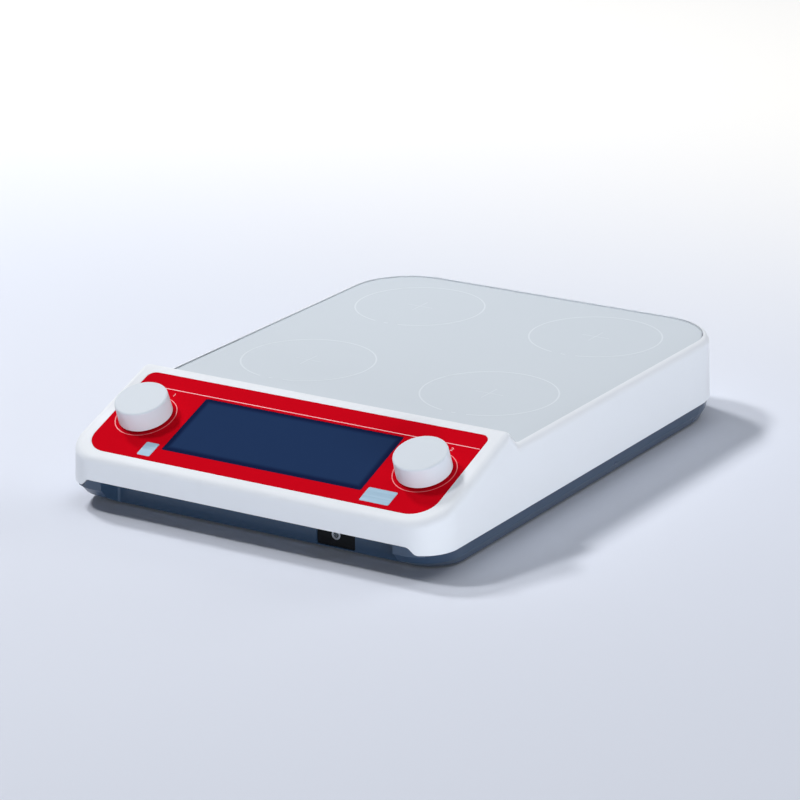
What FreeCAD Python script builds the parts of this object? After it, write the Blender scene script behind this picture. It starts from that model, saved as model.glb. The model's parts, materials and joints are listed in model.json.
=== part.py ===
import FreeCAD, Part
import math
import os
from FreeCAD import Vector

# Four position hotplate stirrer, free standing, in millimetres.
# The origin is the middle of the footprint on the table, +Z is up, and the control panel faces -Y.

# Casing
CASE_WALL = 3.0
CASE_DRAFT = 1.6            # lean of the side walls, degrees
FRONT_CORNER_R = 23.0
REAR_CORNER_R = 46.0
CASE_EDGE_Z = 14.5          # the lower edge above the table
ARCH_RISE = 4.5             # how far the front lower edge arches up between the corners
ARCH_FROM_SIDE = 19.5       # level part of the arch inside the casing's side
ARCH_RAMP = 9.0             # width of each curved end of the arch
RIM_WIDTH = 4.0             # white rim beside the plate
RIM_RISE = 0.8              # rim above the plate
TOP_EDGE_R = 5.0

# Control panel
CREST_RISE = 11.5           # sharp crest above the plate
CREST_FROM_FRONT = 86.5
PANEL_SLOPE = 20.5          # degrees
FLANK_ANGLE = 50.0          # drop behind the crest, degrees
CREST_R = 4.0
FOOT_R = 6.0

# Glass plate
PLATE_TOP_Z = 54.0
PLATE_THICKNESS = 4.0
PLATE_GAP = 0.5             # around the plate
PLATE_REAR_R = 40.0
PLATE_FRONT_R = 3.0
PLATE_CHAMFER = 0.3
PLATE_FROM_CREST = 11.5     # front edge of the plate behind the crest
GASKET_THICKNESS = 0.6
GASKET_WIDTH = 11.0
GASKET_INSET = 1.5
DECK_LEDGE = 14.0           # ledge under the edge of the plate

# Stirring stations
PITCH_X = 130.0
PITCH_Y = 132.0
HEATER_R = 42.0
HEATER_THICKNESS = 0.6
PAD_MARGIN = 2.0            # pad beyond its heater
PAD_THICKNESS = 2.2
PAD_FROM_SIDE_LEDGE = 2.4
PAD_FROM_REAR_LEDGE = 1.4
PAD_FROM_FRONT_LEDGE = 14.0
SENSOR_R = 3.0
SENSOR_HEIGHT = 1.6
SENSOR_CLEARANCE = 0.6

# Base tray
BASE_BOTTOM_Z = 1.5
BASE_FLOOR = 2.5
BASE_WALL = 2.2
BASE_SEAM = 0.3             # shadow gap under the casing's lower edge
BASE_STEP = 0.8             # tray behind the casing's face at the seam
BASE_SIDE_TAPER = 5.0       # run-in of the sides and rear down to the floor
APRON_FROM_FRONT = 17.5     # bottom of the front corners behind the casing's front
BASE_BELLY_Z = 7.5
BASE_BELLY = 0.2            # bulge of the walls there, as a share of their run-in
TONGUE_TOP_Z = 21.0
RECESS_FROM_SIDE = 29.5     # hand recess under the front edge
RECESS_FROM_APRON = 0.5     # its upright wall behind the foot of the apron
RECESS_TOP_Z = 19.3
RECESS_R = 2.0
RECESS_WALL = 2.2
TONGUE_CLEARANCE = 0.5
BASE_CORNER_R = 22.0        # front corners of the tray
RIB_HEIGHT = 4.0
RIB_WIDTH = 1.8
VENT_LENGTH = 34.0
VENT_WIDTH = 3.0
VENT_PITCH = 9.0
VENT_COUNT = 7
VENT_FROM_CHASSIS = 16.0     # front row in front of the chassis
VENT_FROM_MIDDLE = 50.0      # rear row behind the middle of the stations

# Feet
FOOT_PAD_R = 8.0
FOOT_RECESS = 1.0
FOOT_CLEARANCE = 0.3
FOOT_CHAMFER = 0.6
FOOT_FROM_SIDE = 31.0
FOOT_FROM_FRONT = 45.5
FOOT_FROM_REAR = 33.5

# Screws
SCREW_R = 1.5
SCREW_HEAD_R = 2.9
SCREW_HEAD = 1.8
SCREW_CROWN = 0.8
SCREW_CLEARANCE = 0.2
SCREW_TIP = 1.0             # past the plate that it is screwed into
BOSS_R = 4.5
BOSS_FROM_SIDE = 16.0
BOSS_FROM_FRONT = 63.5
BOSS_FROM_MIDDLE = 22.5     # middle pair in front of the middle of the stations
BOSS_FROM_REAR = 15.5
REAR_BOSS_FROM_SIDE = 47.0
BOSS_SEAT_Z = 12.0
BASE_SCREW_LENGTH = 16.0
COUNTERBORE = 5.5

# Chassis plate
CHASSIS_Z = 20.0
CHASSIS_THICKNESS = 2.0
CHASSIS_FROM_BOSS = 4.5
CHASSIS_FRONT_MARGIN = 68.0     # in front of the front stations
CHASSIS_REAR_MARGIN = 30.0      # behind the rear stations
CHASSIS_CORNER_R = 8.0
CHASSIS_FLANGE = 7.0
POST_R = 5.0
POST_FROM_EDGE = 9.0
CHASSIS_SCREW_LENGTH = 9.0
WINDOW_HALF_X = 42.0
WINDOW_HALF_Y = 30.0
WINDOW_R = 6.0

# Spindle bearings
SPINDLE_R = 3.0
BEARING_R = 7.5
BEARING_WIDTH = 5.0
BEARING_FIT = 0.02
RUNNING_FIT = 0.04
HOUSING_R = 10.0
HOUSING_FLANGE_R = 17.0
HOUSING_FLANGE = 2.5
HOUSING_LENGTH = 18.0
HOUSING_LAND_R = 6.3
HOUSING_HOLE_CLEARANCE = 0.2
HOUSING_SCREW_CIRCLE = 13.5
HOUSING_SCREW_COUNT = 3
SHOULDER_R = 4.2
SHOULDER = 2.2
END_PLAY = 0.1
CLIP_R = 4.6
CLIP = 0.8
SPINDLE_END = 1.0           # below the clip

# Belt drive
BELT_WIDTH = 6.0
BELT_THICKNESS = 1.0
BELT_GAP = 0.3              # between the belt and the faces of the pulleys
BELT_SIDE_PLAY = 0.2
SPINDLE_PULLEY_R = 14.0
MOTOR_PULLEY_R = 8.5
IDLER_R = 8.0
PULLEY_FLANGE_HEIGHT = 2.0
PULLEY_FLANGE = 1.0
PULLEY_HUB_STEP = 2.0       # hub inside the groove
IDLER_PUSH = 6.0            # how far the idler presses the belt in

# Magnet carriers
CARRIER_R = 24.0
CARRIER_DEPTH = 9.6
CARRIER_DISH = 1.2          # rise of the dish under its rim
CARRIER_EDGE_R = 0.8
MAGNET_R = 7.5
MAGNET_HEIGHT = 6.2
MAGNET_OFFSET = 15.0
MAGNET_CLEARANCE = 0.1
MAGNET_SINK = 0.3

# Motor
MOTOR_FROM_STATIONS = 36.5      # in front of the front stations
MOTOR_R = 18.0
MOTOR_LENGTH = 14.0
MOTOR_EDGE_R = 2.0
MOTOR_BOSS_R = 7.0
MOTOR_BOSS = 1.5
MOTOR_SCREW_CIRCLE = 12.5
MOTOR_SCREW_COUNT = 4
MOTOR_SCREW_BITE = 4.0
MOTOR_SHAFT_R = 2.5
MOTOR_SHAFT_DEPTH = 10.0

# Idler arm
IDLER_ARM_LENGTH = 34.0
IDLER_ARM_R = 6.5
IDLER_AXLE_R = 3.0
IDLER_SLOT = 6.4            # length of the clamp slot

# Overlay, window and display
OVERLAY_FROM_SIDE = 11.5
OVERLAY_FROM_FRONT = 8.05    # down the slope, to the front of the casing
OVERLAY_FROM_CREST = 7.4
OVERLAY_THICKNESS = 0.5
OVERLAY_TOP_R = 5.5
OVERLAY_BOTTOM_R = 15.3
OVERLAY_CLEARANCE = 0.2
WINDOW_FROM_KNOB = 28.1      # side of the window from the axis of the knob
WINDOW_FROM_OVERLAY = 11.55  # above the overlay's lower edge
WINDOW_FROM_CREST = 22.3
WINDOW_CORNER_R = 1.0
WINDOW_THICKNESS = 2.0
WINDOW_SINK = 0.15
WINDOW_LEDGE = 4.0
DISPLAY_EDGE = 1.0          # display module beyond its window, behind the wall
DISPLAY_LIP = 0.8           # glass of the display below the front of its frame
DISPLAY_DEPTH = 6.7

# Control board
BOARD_THICKNESS = 1.6
BOARD_FROM_SIDE = 22.0
BOARD_FROM_CREST = 16.0
BOARD_BELOW_WINDOW = 7.5     # lower edge of the board below the window
BOARD_BOSS_R = 3.2
BOARD_BOSS_EDGE = 4.5
BOARD_SCREW_LENGTH = 6.0
BOARD_R = 2.0
CHIP_WIDTH = 16.0
CHIP_THICKNESS = 1.4
DRIVER_X = 26.0             # inner driver from the middle
DRIVER_PITCH = 14.0
DRIVER_WIDTH = 10.0
DRIVER_DEPTH = 8.0
DRIVER_BELOW = 10.0         # below the middle of the board
DRIVER_THICKNESS = 2.0
HEADER_PITCH = 60.0
HEADER_LENGTH = 24.0
HEADER_DEPTH = 6.0
HEADER_ABOVE = 15.0         # above the middle of the board
HEADER_THICKNESS = 3.5

# Knobs and their encoders
KNOB_FROM_EDGE = 22.1       # axis inside the side of the overlay
KNOB_FROM_CREST = 47.0
KNOB_BASE_R = 16.6
KNOB_TOP_R = 16.3
KNOB_HEIGHT = 12.6
KNOB_GAP = 0.8              # under the knob
KNOB_EDGE_R = 1.3
KNOB_FOOT_R = 0.3
KNOB_WALL = 1.8
KNOB_ROOF = 2.0
KNOB_HUB_R = 5.2
KNOB_HUB_LIFT = 4.4
KNOB_RIB = 1.4
KNOB_RIB_COUNT = 4
KNOB_TRAVEL = 0.5
SHAFT_R = 3.0
SHAFT_FLAT = 1.5            # flat of the D from the axis
SHAFT_FIT = 0.03
SHAFT_END_GAP = 0.3         # under the shaft with its knob pressed
SHAFT_ROOF_GAP = 0.4        # between the shaft's end and the knob's roof
FLAT_RUN_OUT = 0.6          # of the lower flat, past the rotor's chamber
ENCODER_WIDTH = 14.0
ENCODER_CAVITY_R = 5.6
ENCODER_CAVITY_DEPTH = 3.6
ENCODER_BACK = 0.9
ENCODER_ROTOR_R = 5.2
ENCODER_ROTOR = 2.0
ENCODER_ROTOR_PLAY = 0.35
BUSHING_R = 4.1
BUSHING_LENGTH = 3.6        # in front of the panel
BUSHING_CLEARANCE = 0.3
NUT_ACROSS = 11.0
NUT_HEIGHT = 2.0

# Power board
POWER_HALF_X = 50.0
POWER_HALF_Y = 38.0
POWER_Z = 9.0
POWER_POST_R = 3.5
POWER_POST_EDGE = 5.0
TRANSFORMER = (34.0, 30.0, 17.0)
CAPACITOR_R = 6.0
CAPACITOR_LENGTH = 22.0
CAPACITOR_X = 30.0
TERMINAL_X = 18.0
TERMINAL_WIDTH = 20.0
TERMINAL_DEPTH = 8.0
TERMINAL_HEIGHT = 7.0
TERMINAL_FROM_EDGE = 3.0

# Rear bay, power inlet and switch
BAY_HALF_WIDTH = 46.0
BAY_LOW_Z = 24.0
BAY_HIGH_Z = 47.5
BAY_DEPTH = 4.5
BAY_R = 4.0
BAY_EDGE = 4.0
INLET_X = 22.0
INLET_WIDTH = 27.0
INLET_HEIGHT = 19.5
INLET_DEPTH = 27.0
INLET_FLANGE = 1.8
INLET_FLANGE_EDGE = 1.5
INLET_R = 2.0
INLET_MOUTH_WIDTH = 23.6
INLET_MOUTH_HEIGHT = 16.0
INLET_MOUTH_CHAMFER = 5.0
INLET_MOUTH_R = 0.8
INLET_MOUTH_DEPTH = 16.5
INLET_PIN = (2.0, 4.0)
INLET_PIN_SHORT = 5.2       # pin ends below the mouth's face
INLET_PIN_SPACING = 7.0
INLET_PIN_RAISE = 2.0
INLET_PIN_TAIL = 4.0
PANEL_FIT = 0.2             # around a body in its panel hole
SWITCH_X = -24.0
SWITCH_WIDTH = 12.8
SWITCH_HEIGHT = 19.0
SWITCH_DEPTH = 15.0
SWITCH_MOUTH_EDGE = 1.2
SWITCH_MOUTH_DEPTH = 11.0
SWITCH_R = 0.5
SWITCH_FLANGE_EDGE = 0.75
ROCKER_TILT = 8.0           # each way, degrees
ROCKER_CLEARANCE = 0.35
ROCKER_PIVOT_DEPTH = 3.5    # pivot behind the flange's face
ROCKER_RISE = 0.6           # its ridge beyond the pivot's own flange face
ROCKER_PIN_R = 1.2
ROCKER_SWING_ROOM = 0.6     # at each end, as it tilts
ROCKER_SKIRT = 1.5          # ends of the rocker behind its pivot
ROCKER_BACK = 4.2           # middle of the rocker behind its pivot
ROCKER_BACK_HALF = 3.0
ROCKER_RIDGE_R = 2.0
ROCKER_END_R = 0.6

# Probe socket in the hand recess
SOCKET_X = 52.3
SOCKET_WIDTH = 26.0
SOCKET_HEIGHT = 15.2
SOCKET_RAISE = 0.9          # above the base's underside
SOCKET_DEPTH = 11.0
SOCKET_SINK = 0.8
SOCKET_FIT = 0.2
SOCKET_R = 1.0
JACK_FLOOR = 1.0
JACK_R = 3.0
JACK_HOLE_R = 1.8
JACK_DEPTH = 9.0
JACK_RAISE = 8.0            # above the base's underside

# Derived places
LEAN = math.tan(math.radians(CASE_DRAFT))
RIM_Z = PLATE_TOP_Z + RIM_RISE
POCKET_INSET = (RIM_Z - CASE_EDGE_Z) * LEAN + RIM_WIDTH
PLATE_INSET = POCKET_INSET + PLATE_GAP
PAD_R = HEATER_R + PAD_MARGIN
PAD_REACH = PAD_R + DECK_LEDGE      # from a station to the edge of the plate, without the clearance
CASE_WIDTH = PITCH_X + 2 * (PAD_REACH + PAD_FROM_SIDE_LEDGE + PLATE_INSET)
REAR_REACH = PAD_REACH + PAD_FROM_REAR_LEDGE + PLATE_INSET
FRONT_REACH = PAD_REACH + PAD_FROM_FRONT_LEDGE + PLATE_FROM_CREST + CREST_FROM_FRONT
CASE_LENGTH = FRONT_REACH + PITCH_Y + REAR_REACH
FRONT_Y = -CASE_LENGTH / 2
REAR_Y = CASE_LENGTH / 2
PLATE_BOTTOM_Z = PLATE_TOP_Z - PLATE_THICKNESS
POCKET_Z = PLATE_BOTTOM_Z - GASKET_THICKNESS
DECK_UNDER_Z = POCKET_Z - CASE_WALL
CREST_Y = FRONT_Y + CREST_FROM_FRONT
CREST_Z = PLATE_TOP_Z + CREST_RISE
PANEL_TAN = math.tan(math.radians(PANEL_SLOPE))
FLANK_TAN = math.tan(math.radians(FLANK_ANGLE))
PLATE_FRONT_Y = CREST_Y + PLATE_FROM_CREST
REAR_STATION_Y = REAR_Y - REAR_REACH
FRONT_STATION_Y = REAR_STATION_Y - PITCH_Y
MIDDLE_Y = REAR_STATION_Y - PITCH_Y / 2
STATIONS = {
    "front_left": (-PITCH_X / 2, FRONT_STATION_Y),
    "front_right": (PITCH_X / 2, FRONT_STATION_Y),
    "rear_right": (PITCH_X / 2, REAR_STATION_Y),
    "rear_left": (-PITCH_X / 2, REAR_STATION_Y),
}
FLOOR_Z = BASE_BOTTOM_Z + BASE_FLOOR
SEAM_Z = CASE_EDGE_Z - BASE_SEAM
APRON_BOTTOM_Y = FRONT_Y + APRON_FROM_FRONT
TONGUE_INSET = CASE_WALL + TONGUE_CLEARANCE
TONGUE_Y = FRONT_Y + TONGUE_INSET
APRON_RUN = APRON_FROM_FRONT - BASE_STEP
APRON_LEAN = APRON_RUN / (SEAM_Z - BASE_BOTTOM_Z)
RECESS_Y = APRON_BOTTOM_Y + RECESS_FROM_APRON
SOCKET_LOW_Z = BASE_BOTTOM_Z + SOCKET_RAISE
SOCKET_HIGH_Z = SOCKET_LOW_Z + SOCKET_HEIGHT
BOSS_X = CASE_WIDTH / 2 - BOSS_FROM_SIDE
REAR_BOSS_X = CASE_WIDTH / 2 - REAR_BOSS_FROM_SIDE
CHASSIS_TOP_Z = CHASSIS_Z + CHASSIS_THICKNESS
CHASSIS_HALF_WIDTH = BOSS_X - BOSS_R - CHASSIS_FROM_BOSS
CHASSIS_FRONT_Y = FRONT_STATION_Y - CHASSIS_FRONT_MARGIN
CHASSIS_REAR_Y = REAR_STATION_Y + CHASSIS_REAR_MARGIN
POST_X = CHASSIS_HALF_WIDTH - POST_FROM_EDGE
POST_YS = (CHASSIS_FRONT_Y + POST_FROM_EDGE, MIDDLE_Y, CHASSIS_REAR_Y - POST_FROM_EDGE)
POSTS = [(side * POST_X, y) for y in POST_YS for side in (-1, 1)]
HOUSING_TOP_Z = CHASSIS_TOP_Z + HOUSING_FLANGE
HOUSING_BOTTOM_Z = HOUSING_TOP_Z - HOUSING_LENGTH
ROTOR_Z = HOUSING_TOP_Z + END_PLAY + SHOULDER
BELT_Z = ROTOR_Z + PULLEY_FLANGE + BELT_SIDE_PLAY
PULLEY_HEIGHT = 2 * PULLEY_FLANGE + BELT_WIDTH + 2 * BELT_SIDE_PLAY
CARRIER_Z = ROTOR_Z + PULLEY_HEIGHT
CARRIER_TOP_Z = CARRIER_Z + CARRIER_DEPTH
MOTOR_Y = FRONT_STATION_Y - MOTOR_FROM_STATIONS
BELT_RIDE = BELT_GAP + BELT_THICKNESS / 2
IDLER_Y = REAR_STATION_Y + SPINDLE_PULLEY_R + IDLER_R + 2 * BELT_RIDE - IDLER_PUSH
BOARD_FRONT = -CASE_WALL - DISPLAY_DEPTH
BOARD_BACK = BOARD_FRONT - BOARD_THICKNESS
BOSS_PAIRS = ((BOSS_X, FRONT_Y + BOSS_FROM_FRONT), (BOSS_X, MIDDLE_Y - BOSS_FROM_MIDDLE),
              (REAR_BOSS_X, REAR_Y - BOSS_FROM_REAR))
BOSSES = [(side * x, y) for x, y in BOSS_PAIRS for side in (-1, 1)]
FEET = [(side * (CASE_WIDTH / 2 - FOOT_FROM_SIDE), y)
        for y in (FRONT_Y + FOOT_FROM_FRONT, REAR_Y - FOOT_FROM_REAR) for side in (-1, 1)]
OVERLAY_WIDTH = CASE_WIDTH - 2 * OVERLAY_FROM_SIDE
PANEL_LENGTH = CREST_FROM_FRONT / math.cos(math.radians(PANEL_SLOPE))
OVERLAY_HEIGHT = PANEL_LENGTH - OVERLAY_FROM_CREST - OVERLAY_FROM_FRONT
KNOB_X = OVERLAY_WIDTH / 2 - KNOB_FROM_EDGE
WINDOW_WIDTH = 2 * (KNOB_X - WINDOW_FROM_KNOB)
WINDOW_HEIGHT = OVERLAY_FROM_CREST + OVERLAY_HEIGHT - WINDOW_FROM_OVERLAY - WINDOW_FROM_CREST
BOARD_HALF_WIDTH = CASE_WIDTH / 2 - BOARD_FROM_SIDE
BOARD_HEIGHT = WINDOW_FROM_CREST + WINDOW_HEIGHT + BOARD_BELOW_WINDOW - BOARD_FROM_CREST
BAY_Y = REAR_Y - BAY_DEPTH
BAY_MIDDLE_Z = (BAY_LOW_Z + BAY_HIGH_Z) / 2
PAST = 1.0                  # how far a cut runs past the faces that it goes through
BEYOND = 10.0               # how far a form runs past the faces that trim it


# Shapes that many pieces use

def rounded_wire(corners, place):
    """Closed wire through the corners (a, b, radius), each turned by a tangent arc of its radius.

    place(a, b) puts a flat point in space. A radius of 0 leaves the corner sharp.
    """
    turns = []
    for i, (a, b, radius) in enumerate(corners):
        here = Vector(a, b, 0)
        back = Vector(*corners[i - 1][:2], 0) - here
        ahead = Vector(*corners[(i + 1) % len(corners)][:2], 0) - here
        back.normalize()
        ahead.normalize()
        if radius == 0:
            turns.append((here, here, here))
            continue
        half = back.getAngle(ahead) / 2
        reach = radius / math.tan(half)
        inward = back + ahead
        inward.normalize()
        middle = here + inward * (radius / math.sin(half) - radius)
        turns.append((here + back * reach, middle, here + ahead * reach))
    edges = []
    for i, (start, middle, end) in enumerate(turns):
        if start.distanceToPoint(end) > 1e-6:
            edges.append(Part.Arc(*(place(p.x, p.y) for p in (start, middle, end))).toShape())
        following = turns[(i + 1) % len(turns)][0]
        if end.distanceToPoint(following) > 1e-6:
            edges.append(Part.LineSegment(place(end.x, end.y), place(following.x, following.y)).toShape())
    return Part.Wire(edges)


def rectangle(half_width, low, high, low_r, high_r=None):
    """Corners of a rectangle centred on a = 0, from b = low to b = high, with their radii."""
    high_r = low_r if high_r is None else high_r
    return [(-half_width, low, low_r), (half_width, low, low_r),
            (half_width, high, high_r), (-half_width, high, high_r)]


def level_wire(corners, z):
    """The corners as a wire in the level plane at height z."""
    return rounded_wire(corners, lambda x, y: Vector(x, y, z))


def slab(corners, z0, z1):
    """Upright prism on the corners from z0 to z1."""
    return Part.Face(level_wire(corners, z0)).extrude(Vector(0, 0, z1 - z0))


def lofted(*sections):
    """Straight-sided solid through (corners, z) sections."""
    return Part.makeLoft([level_wire(corners, z) for corners, z in sections], True, True)


def side_prism(corners, x0, x1):
    """Prism on corners given as (y, z, radius), from x0 to x1."""
    wire = rounded_wire(corners, lambda y, z: Vector(x0, y, z))
    return Part.Face(wire).extrude(Vector(x1 - x0, 0, 0))


def rear_prism(corners, y0, y1):
    """Prism on corners given as (x, z, radius), from y0 to y1."""
    wire = rounded_wire(corners, lambda x, z: Vector(x, y0, z))
    return Part.Face(wire).extrude(Vector(0, y1 - y0, 0))


def disc(radius, z0, z1, x=0.0, y=0.0):
    """Upright cylinder from z0 to z1 with its axis at x, y."""
    return Part.makeCylinder(radius, z1 - z0, Vector(x, y, z0))


def box(x0, x1, y0, y1, z0, z1):
    """Box between two corners."""
    return Part.makeBox(x1 - x0, y1 - y0, z1 - z0, Vector(x0, y0, z0))


def turned(profile, x=0.0, y=0.0):
    """Solid of revolution of a profile (r, z, radius) about the upright axis at x, y."""
    wire = rounded_wire(profile, lambda r, z: Vector(r, 0, z))
    solid = Part.Face(wire).revolve(Vector(0, 0, 0), Vector(0, 0, 1), 360)
    return solid.translated(Vector(x, y, 0))


def ring_of(count, radius, x=0.0, y=0.0, start=0.0):
    """Points evenly round a circle."""
    angles = [start + 2 * math.pi * i / count for i in range(count)]
    return [(x + radius * math.cos(a), y + radius * math.sin(a)) for a in angles]


def screw(x, y, head_z, length, up=False):
    """Pan head screw on an upright axis: its head's seat is at head_z, and the shank points down."""
    rim = SCREW_HEAD - SCREW_CROWN
    solid = turned([(0, -length, 0), (SCREW_R, -length, 0), (SCREW_R, 0, 0), (SCREW_HEAD_R, 0, 0),
                    (SCREW_HEAD_R, rim, 0), (SCREW_HEAD_R - SCREW_CROWN, SCREW_HEAD, 0), (0, SCREW_HEAD, 0)])
    if up:
        solid = solid.rotated(Vector(0, 0, 0), Vector(1, 0, 0), 180)
    return solid.translated(Vector(x, y, head_z))


def united(shapes):
    """All the shapes as one solid, without the seams between them."""
    first, *others = shapes
    return first.fuse(others).removeSplitter() if others else first


def group(shapes):
    """Separate solids that share one node."""
    return Part.makeCompound([solid for shape in shapes for solid in shape.Solids])


def single(shape):
    """The one solid that a cut or fuse leaves."""
    assert len(shape.Solids) == 1, len(shape.Solids)
    return shape.Solids[0]


def on_panel(shape):
    """Puts a shape drawn flat on the sloping panel: +Y up the slope from the crest, +Z out of it."""
    turned_shape = shape.rotated(Vector(0, 0, 0), Vector(1, 0, 0), PANEL_SLOPE)
    return turned_shape.translated(Vector(0, CREST_Y, CREST_Z))


# Casing

def case_corners(inset, z):
    """Outline of the drafted casing at height z, moved inwards by inset."""
    inset = inset + (z - CASE_EDGE_Z) * LEAN
    return rectangle(CASE_WIDTH / 2 - inset, FRONT_Y + inset, REAR_Y - inset,
                     FRONT_CORNER_R - inset, REAR_CORNER_R - inset)


def case_form(inset, low_z, deck_z):
    """Drafted casing under the deck and the sloping panel, with every face moved inwards by inset."""
    top_z = CREST_Z + BEYOND
    walls = lofted((case_corners(inset, low_z), low_z), (case_corners(inset, top_z), top_z))
    panel = Vector(-math.sin(math.radians(PANEL_SLOPE)), math.cos(math.radians(PANEL_SLOPE)), 0)
    flank = Vector(math.sin(math.radians(FLANK_ANGLE)), math.cos(math.radians(FLANK_ANGLE)), 0)
    crest = Vector(CREST_Y, CREST_Z, 0)
    panel_reach = panel.dot(crest) - inset
    flank_reach = flank.dot(crest) - inset
    across = panel.x * flank.y - panel.y * flank.x
    crest_y = (panel_reach * flank.y - flank_reach * panel.y) / across
    crest_z = (panel.x * flank_reach - flank.x * panel_reach) / across
    front_y = FRONT_Y - BEYOND
    side = [(REAR_Y + BEYOND, low_z, 0), (REAR_Y + BEYOND, deck_z, 0),
            (crest_y + (crest_z - deck_z) / FLANK_TAN, deck_z, FOOT_R + inset),
            (crest_y, crest_z, CREST_R - inset),
            (front_y, crest_z - (crest_y - front_y) * PANEL_TAN, 0), (front_y, low_z, 0)]
    return single(walls.common(side_prism(side, -CASE_WIDTH, CASE_WIDTH)))


def case_skin():
    """Outside of the casing, with its whole top edge rounded in one run over the crest and the rim."""
    form = case_form(0, CASE_EDGE_Z, RIM_Z)
    spans = [edge for edge in form.Edges if edge.BoundBox.ZMin > CASE_EDGE_Z + PAST]
    outer = [edge for edge in spans if edge.BoundBox.XLength < CASE_WIDTH - 2 * RIM_WIDTH]
    return form.makeFillet(TOP_EDGE_R, outer)


def pocket_corners(inset, front_gap):
    """Outline of the plate's pocket, or of the plate, inset from the casing."""
    return rectangle(CASE_WIDTH / 2 - inset, PLATE_FRONT_Y - front_gap, REAR_Y - inset,
                     PLATE_FRONT_R, PLATE_REAR_R)


def plate_corners(inset=0.0):
    """Outline of the glass plate, moved inwards by inset."""
    edge = PLATE_INSET + inset
    front_r = max(PLATE_FRONT_R - inset, 1.0)
    return rectangle(CASE_WIDTH / 2 - edge, PLATE_FRONT_Y + inset, REAR_Y - edge,
                     front_r, PLATE_REAR_R - inset)


def arch_form(gap=0.0):
    """Space under the front lower edge: level between the corners, with an S curve at each end."""
    half = CASE_WIDTH / 2 - ARCH_FROM_SIDE - gap
    ramp = ARCH_RAMP / 2
    low = CASE_EDGE_Z - gap
    high = CASE_EDGE_Z + ARCH_RISE - gap
    bottom = low - PAST
    corners = [(-half - ARCH_RAMP, bottom, 0), (half + ARCH_RAMP, bottom, 0), (half + ARCH_RAMP, low, 0),
               (half + ramp, low, ramp), (half, high, ramp),
               (-half, high, ramp), (-half - ramp, low, ramp), (-half - ARCH_RAMP, low, 0)]
    return rear_prism(corners, FRONT_Y - PAST, FRONT_Y + FRONT_CORNER_R)


def panel_holes():
    """What is cut through the sloping panel: overlay recess, display window and encoder holes."""
    recess = slab(overlay_corners(OVERLAY_CLEARANCE), -OVERLAY_THICKNESS, BEYOND)
    seat = slab(window_corners(OVERLAY_CLEARANCE), -WINDOW_THICKNESS - WINDOW_SINK, PAST)
    view = slab(window_corners(-WINDOW_LEDGE), -BEYOND, PAST)
    holes = [disc(BUSHING_R + BUSHING_CLEARANCE, -BEYOND, PAST, side * KNOB_X, -KNOB_FROM_CREST)
             for side in (-1, 1)]
    return on_panel(group([recess, seat, view] + holes))


def case_top():
    """White moulded casing: one shell with the crest, the plate's pocket, bosses and the rear bay."""
    skin = case_skin()
    cavity = case_form(CASE_WALL, CASE_EDGE_Z - PAST, DECK_UNDER_Z)
    bay_pad = box(-BAY_HALF_WIDTH - BAY_EDGE, BAY_HALF_WIDTH + BAY_EDGE,
                  BAY_Y - CASE_WALL, REAR_Y, TONGUE_TOP_Z + TONGUE_CLEARANCE, POCKET_Z)
    bosses = [disc(BOSS_R, BOSS_SEAT_Z, CREST_Z, x, y) for x, y in BOSSES]
    inside = [solid.common(cavity) for solid in bosses + [bay_pad]]
    board_bosses = [on_panel(disc(BOARD_BOSS_R, BOARD_FRONT, -CASE_WALL / 2, x, y))
                    for x, y in board_boss_places()]
    hollow = single(skin.cut(cavity))
    shell = united([hollow] + inside + board_bosses)
    pocket = slab(pocket_corners(POCKET_INSET, PLATE_GAP), POCKET_Z, CREST_Z + BEYOND)
    opening = slab(plate_corners(DECK_LEDGE), DECK_UNDER_Z - PAST, POCKET_Z + PAST)
    pilots = [disc(SCREW_R, BOSS_SEAT_Z - PAST, base_screw_seat() + BASE_SCREW_LENGTH + PAST, x, y)
              for x, y in BOSSES]
    board_pilots = [on_panel(disc(SCREW_R, BOARD_FRONT - PAST, -CASE_WALL, x, y))
                    for x, y in board_boss_places()]
    bay = rear_prism(rectangle(BAY_HALF_WIDTH, BAY_LOW_Z, BAY_HIGH_Z, BAY_R), BAY_Y, REAR_Y + BEYOND)
    holes = [inlet_body_form(PANEL_FIT), switch_body_form(PANEL_FIT)]
    cuts = [pocket, opening, bay, arch_form(), panel_holes()] + pilots + board_pilots + holes
    return single(shell.cut(cuts))


# Plate, heaters and sensors

def glass_plate():
    """Glass-ceramic plate that lies in the casing's pocket, with softened upper and lower edges."""
    plate = slab(plate_corners(), PLATE_BOTTOM_Z, PLATE_TOP_Z)
    edges = [edge for edge in plate.Edges if abs(edge.BoundBox.ZLength) < 0.01]
    return plate.makeChamfer(PLATE_CHAMFER, edges)


def plate_gasket():
    """Silicone frame that seals the plate to the deck's ledge."""
    outer = slab(plate_corners(GASKET_INSET), POCKET_Z, PLATE_BOTTOM_Z)
    return outer.cut(slab(plate_corners(GASKET_INSET + GASKET_WIDTH), POCKET_Z - PAST, PLATE_BOTTOM_Z + PAST))


def heater_foils():
    """Round foil heaters stuck under the plate, one for each station."""
    bottom = PLATE_BOTTOM_Z - HEATER_THICKNESS
    return group([disc(HEATER_R, bottom, PLATE_BOTTOM_Z, x, y) for x, y in STATIONS.values()])


def insulation_pads():
    """Insulating discs under the heaters, each with a hole for its sensor."""
    top = PLATE_BOTTOM_Z - HEATER_THICKNESS
    hole_r = SENSOR_R + SENSOR_CLEARANCE
    low = top - PAD_THICKNESS
    return group([disc(PAD_R, low, top, x, y).cut(disc(hole_r, low - PAST, top + PAST, x, y))
                  for x, y in STATIONS.values()])


def temperature_sensors():
    """Sensor buttons that touch the heaters through the pads."""
    top = PLATE_BOTTOM_Z - HEATER_THICKNESS
    return group([disc(SENSOR_R, top - SENSOR_HEIGHT, top, x, y) for x, y in STATIONS.values()])


# Base tray, feet and screws

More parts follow.
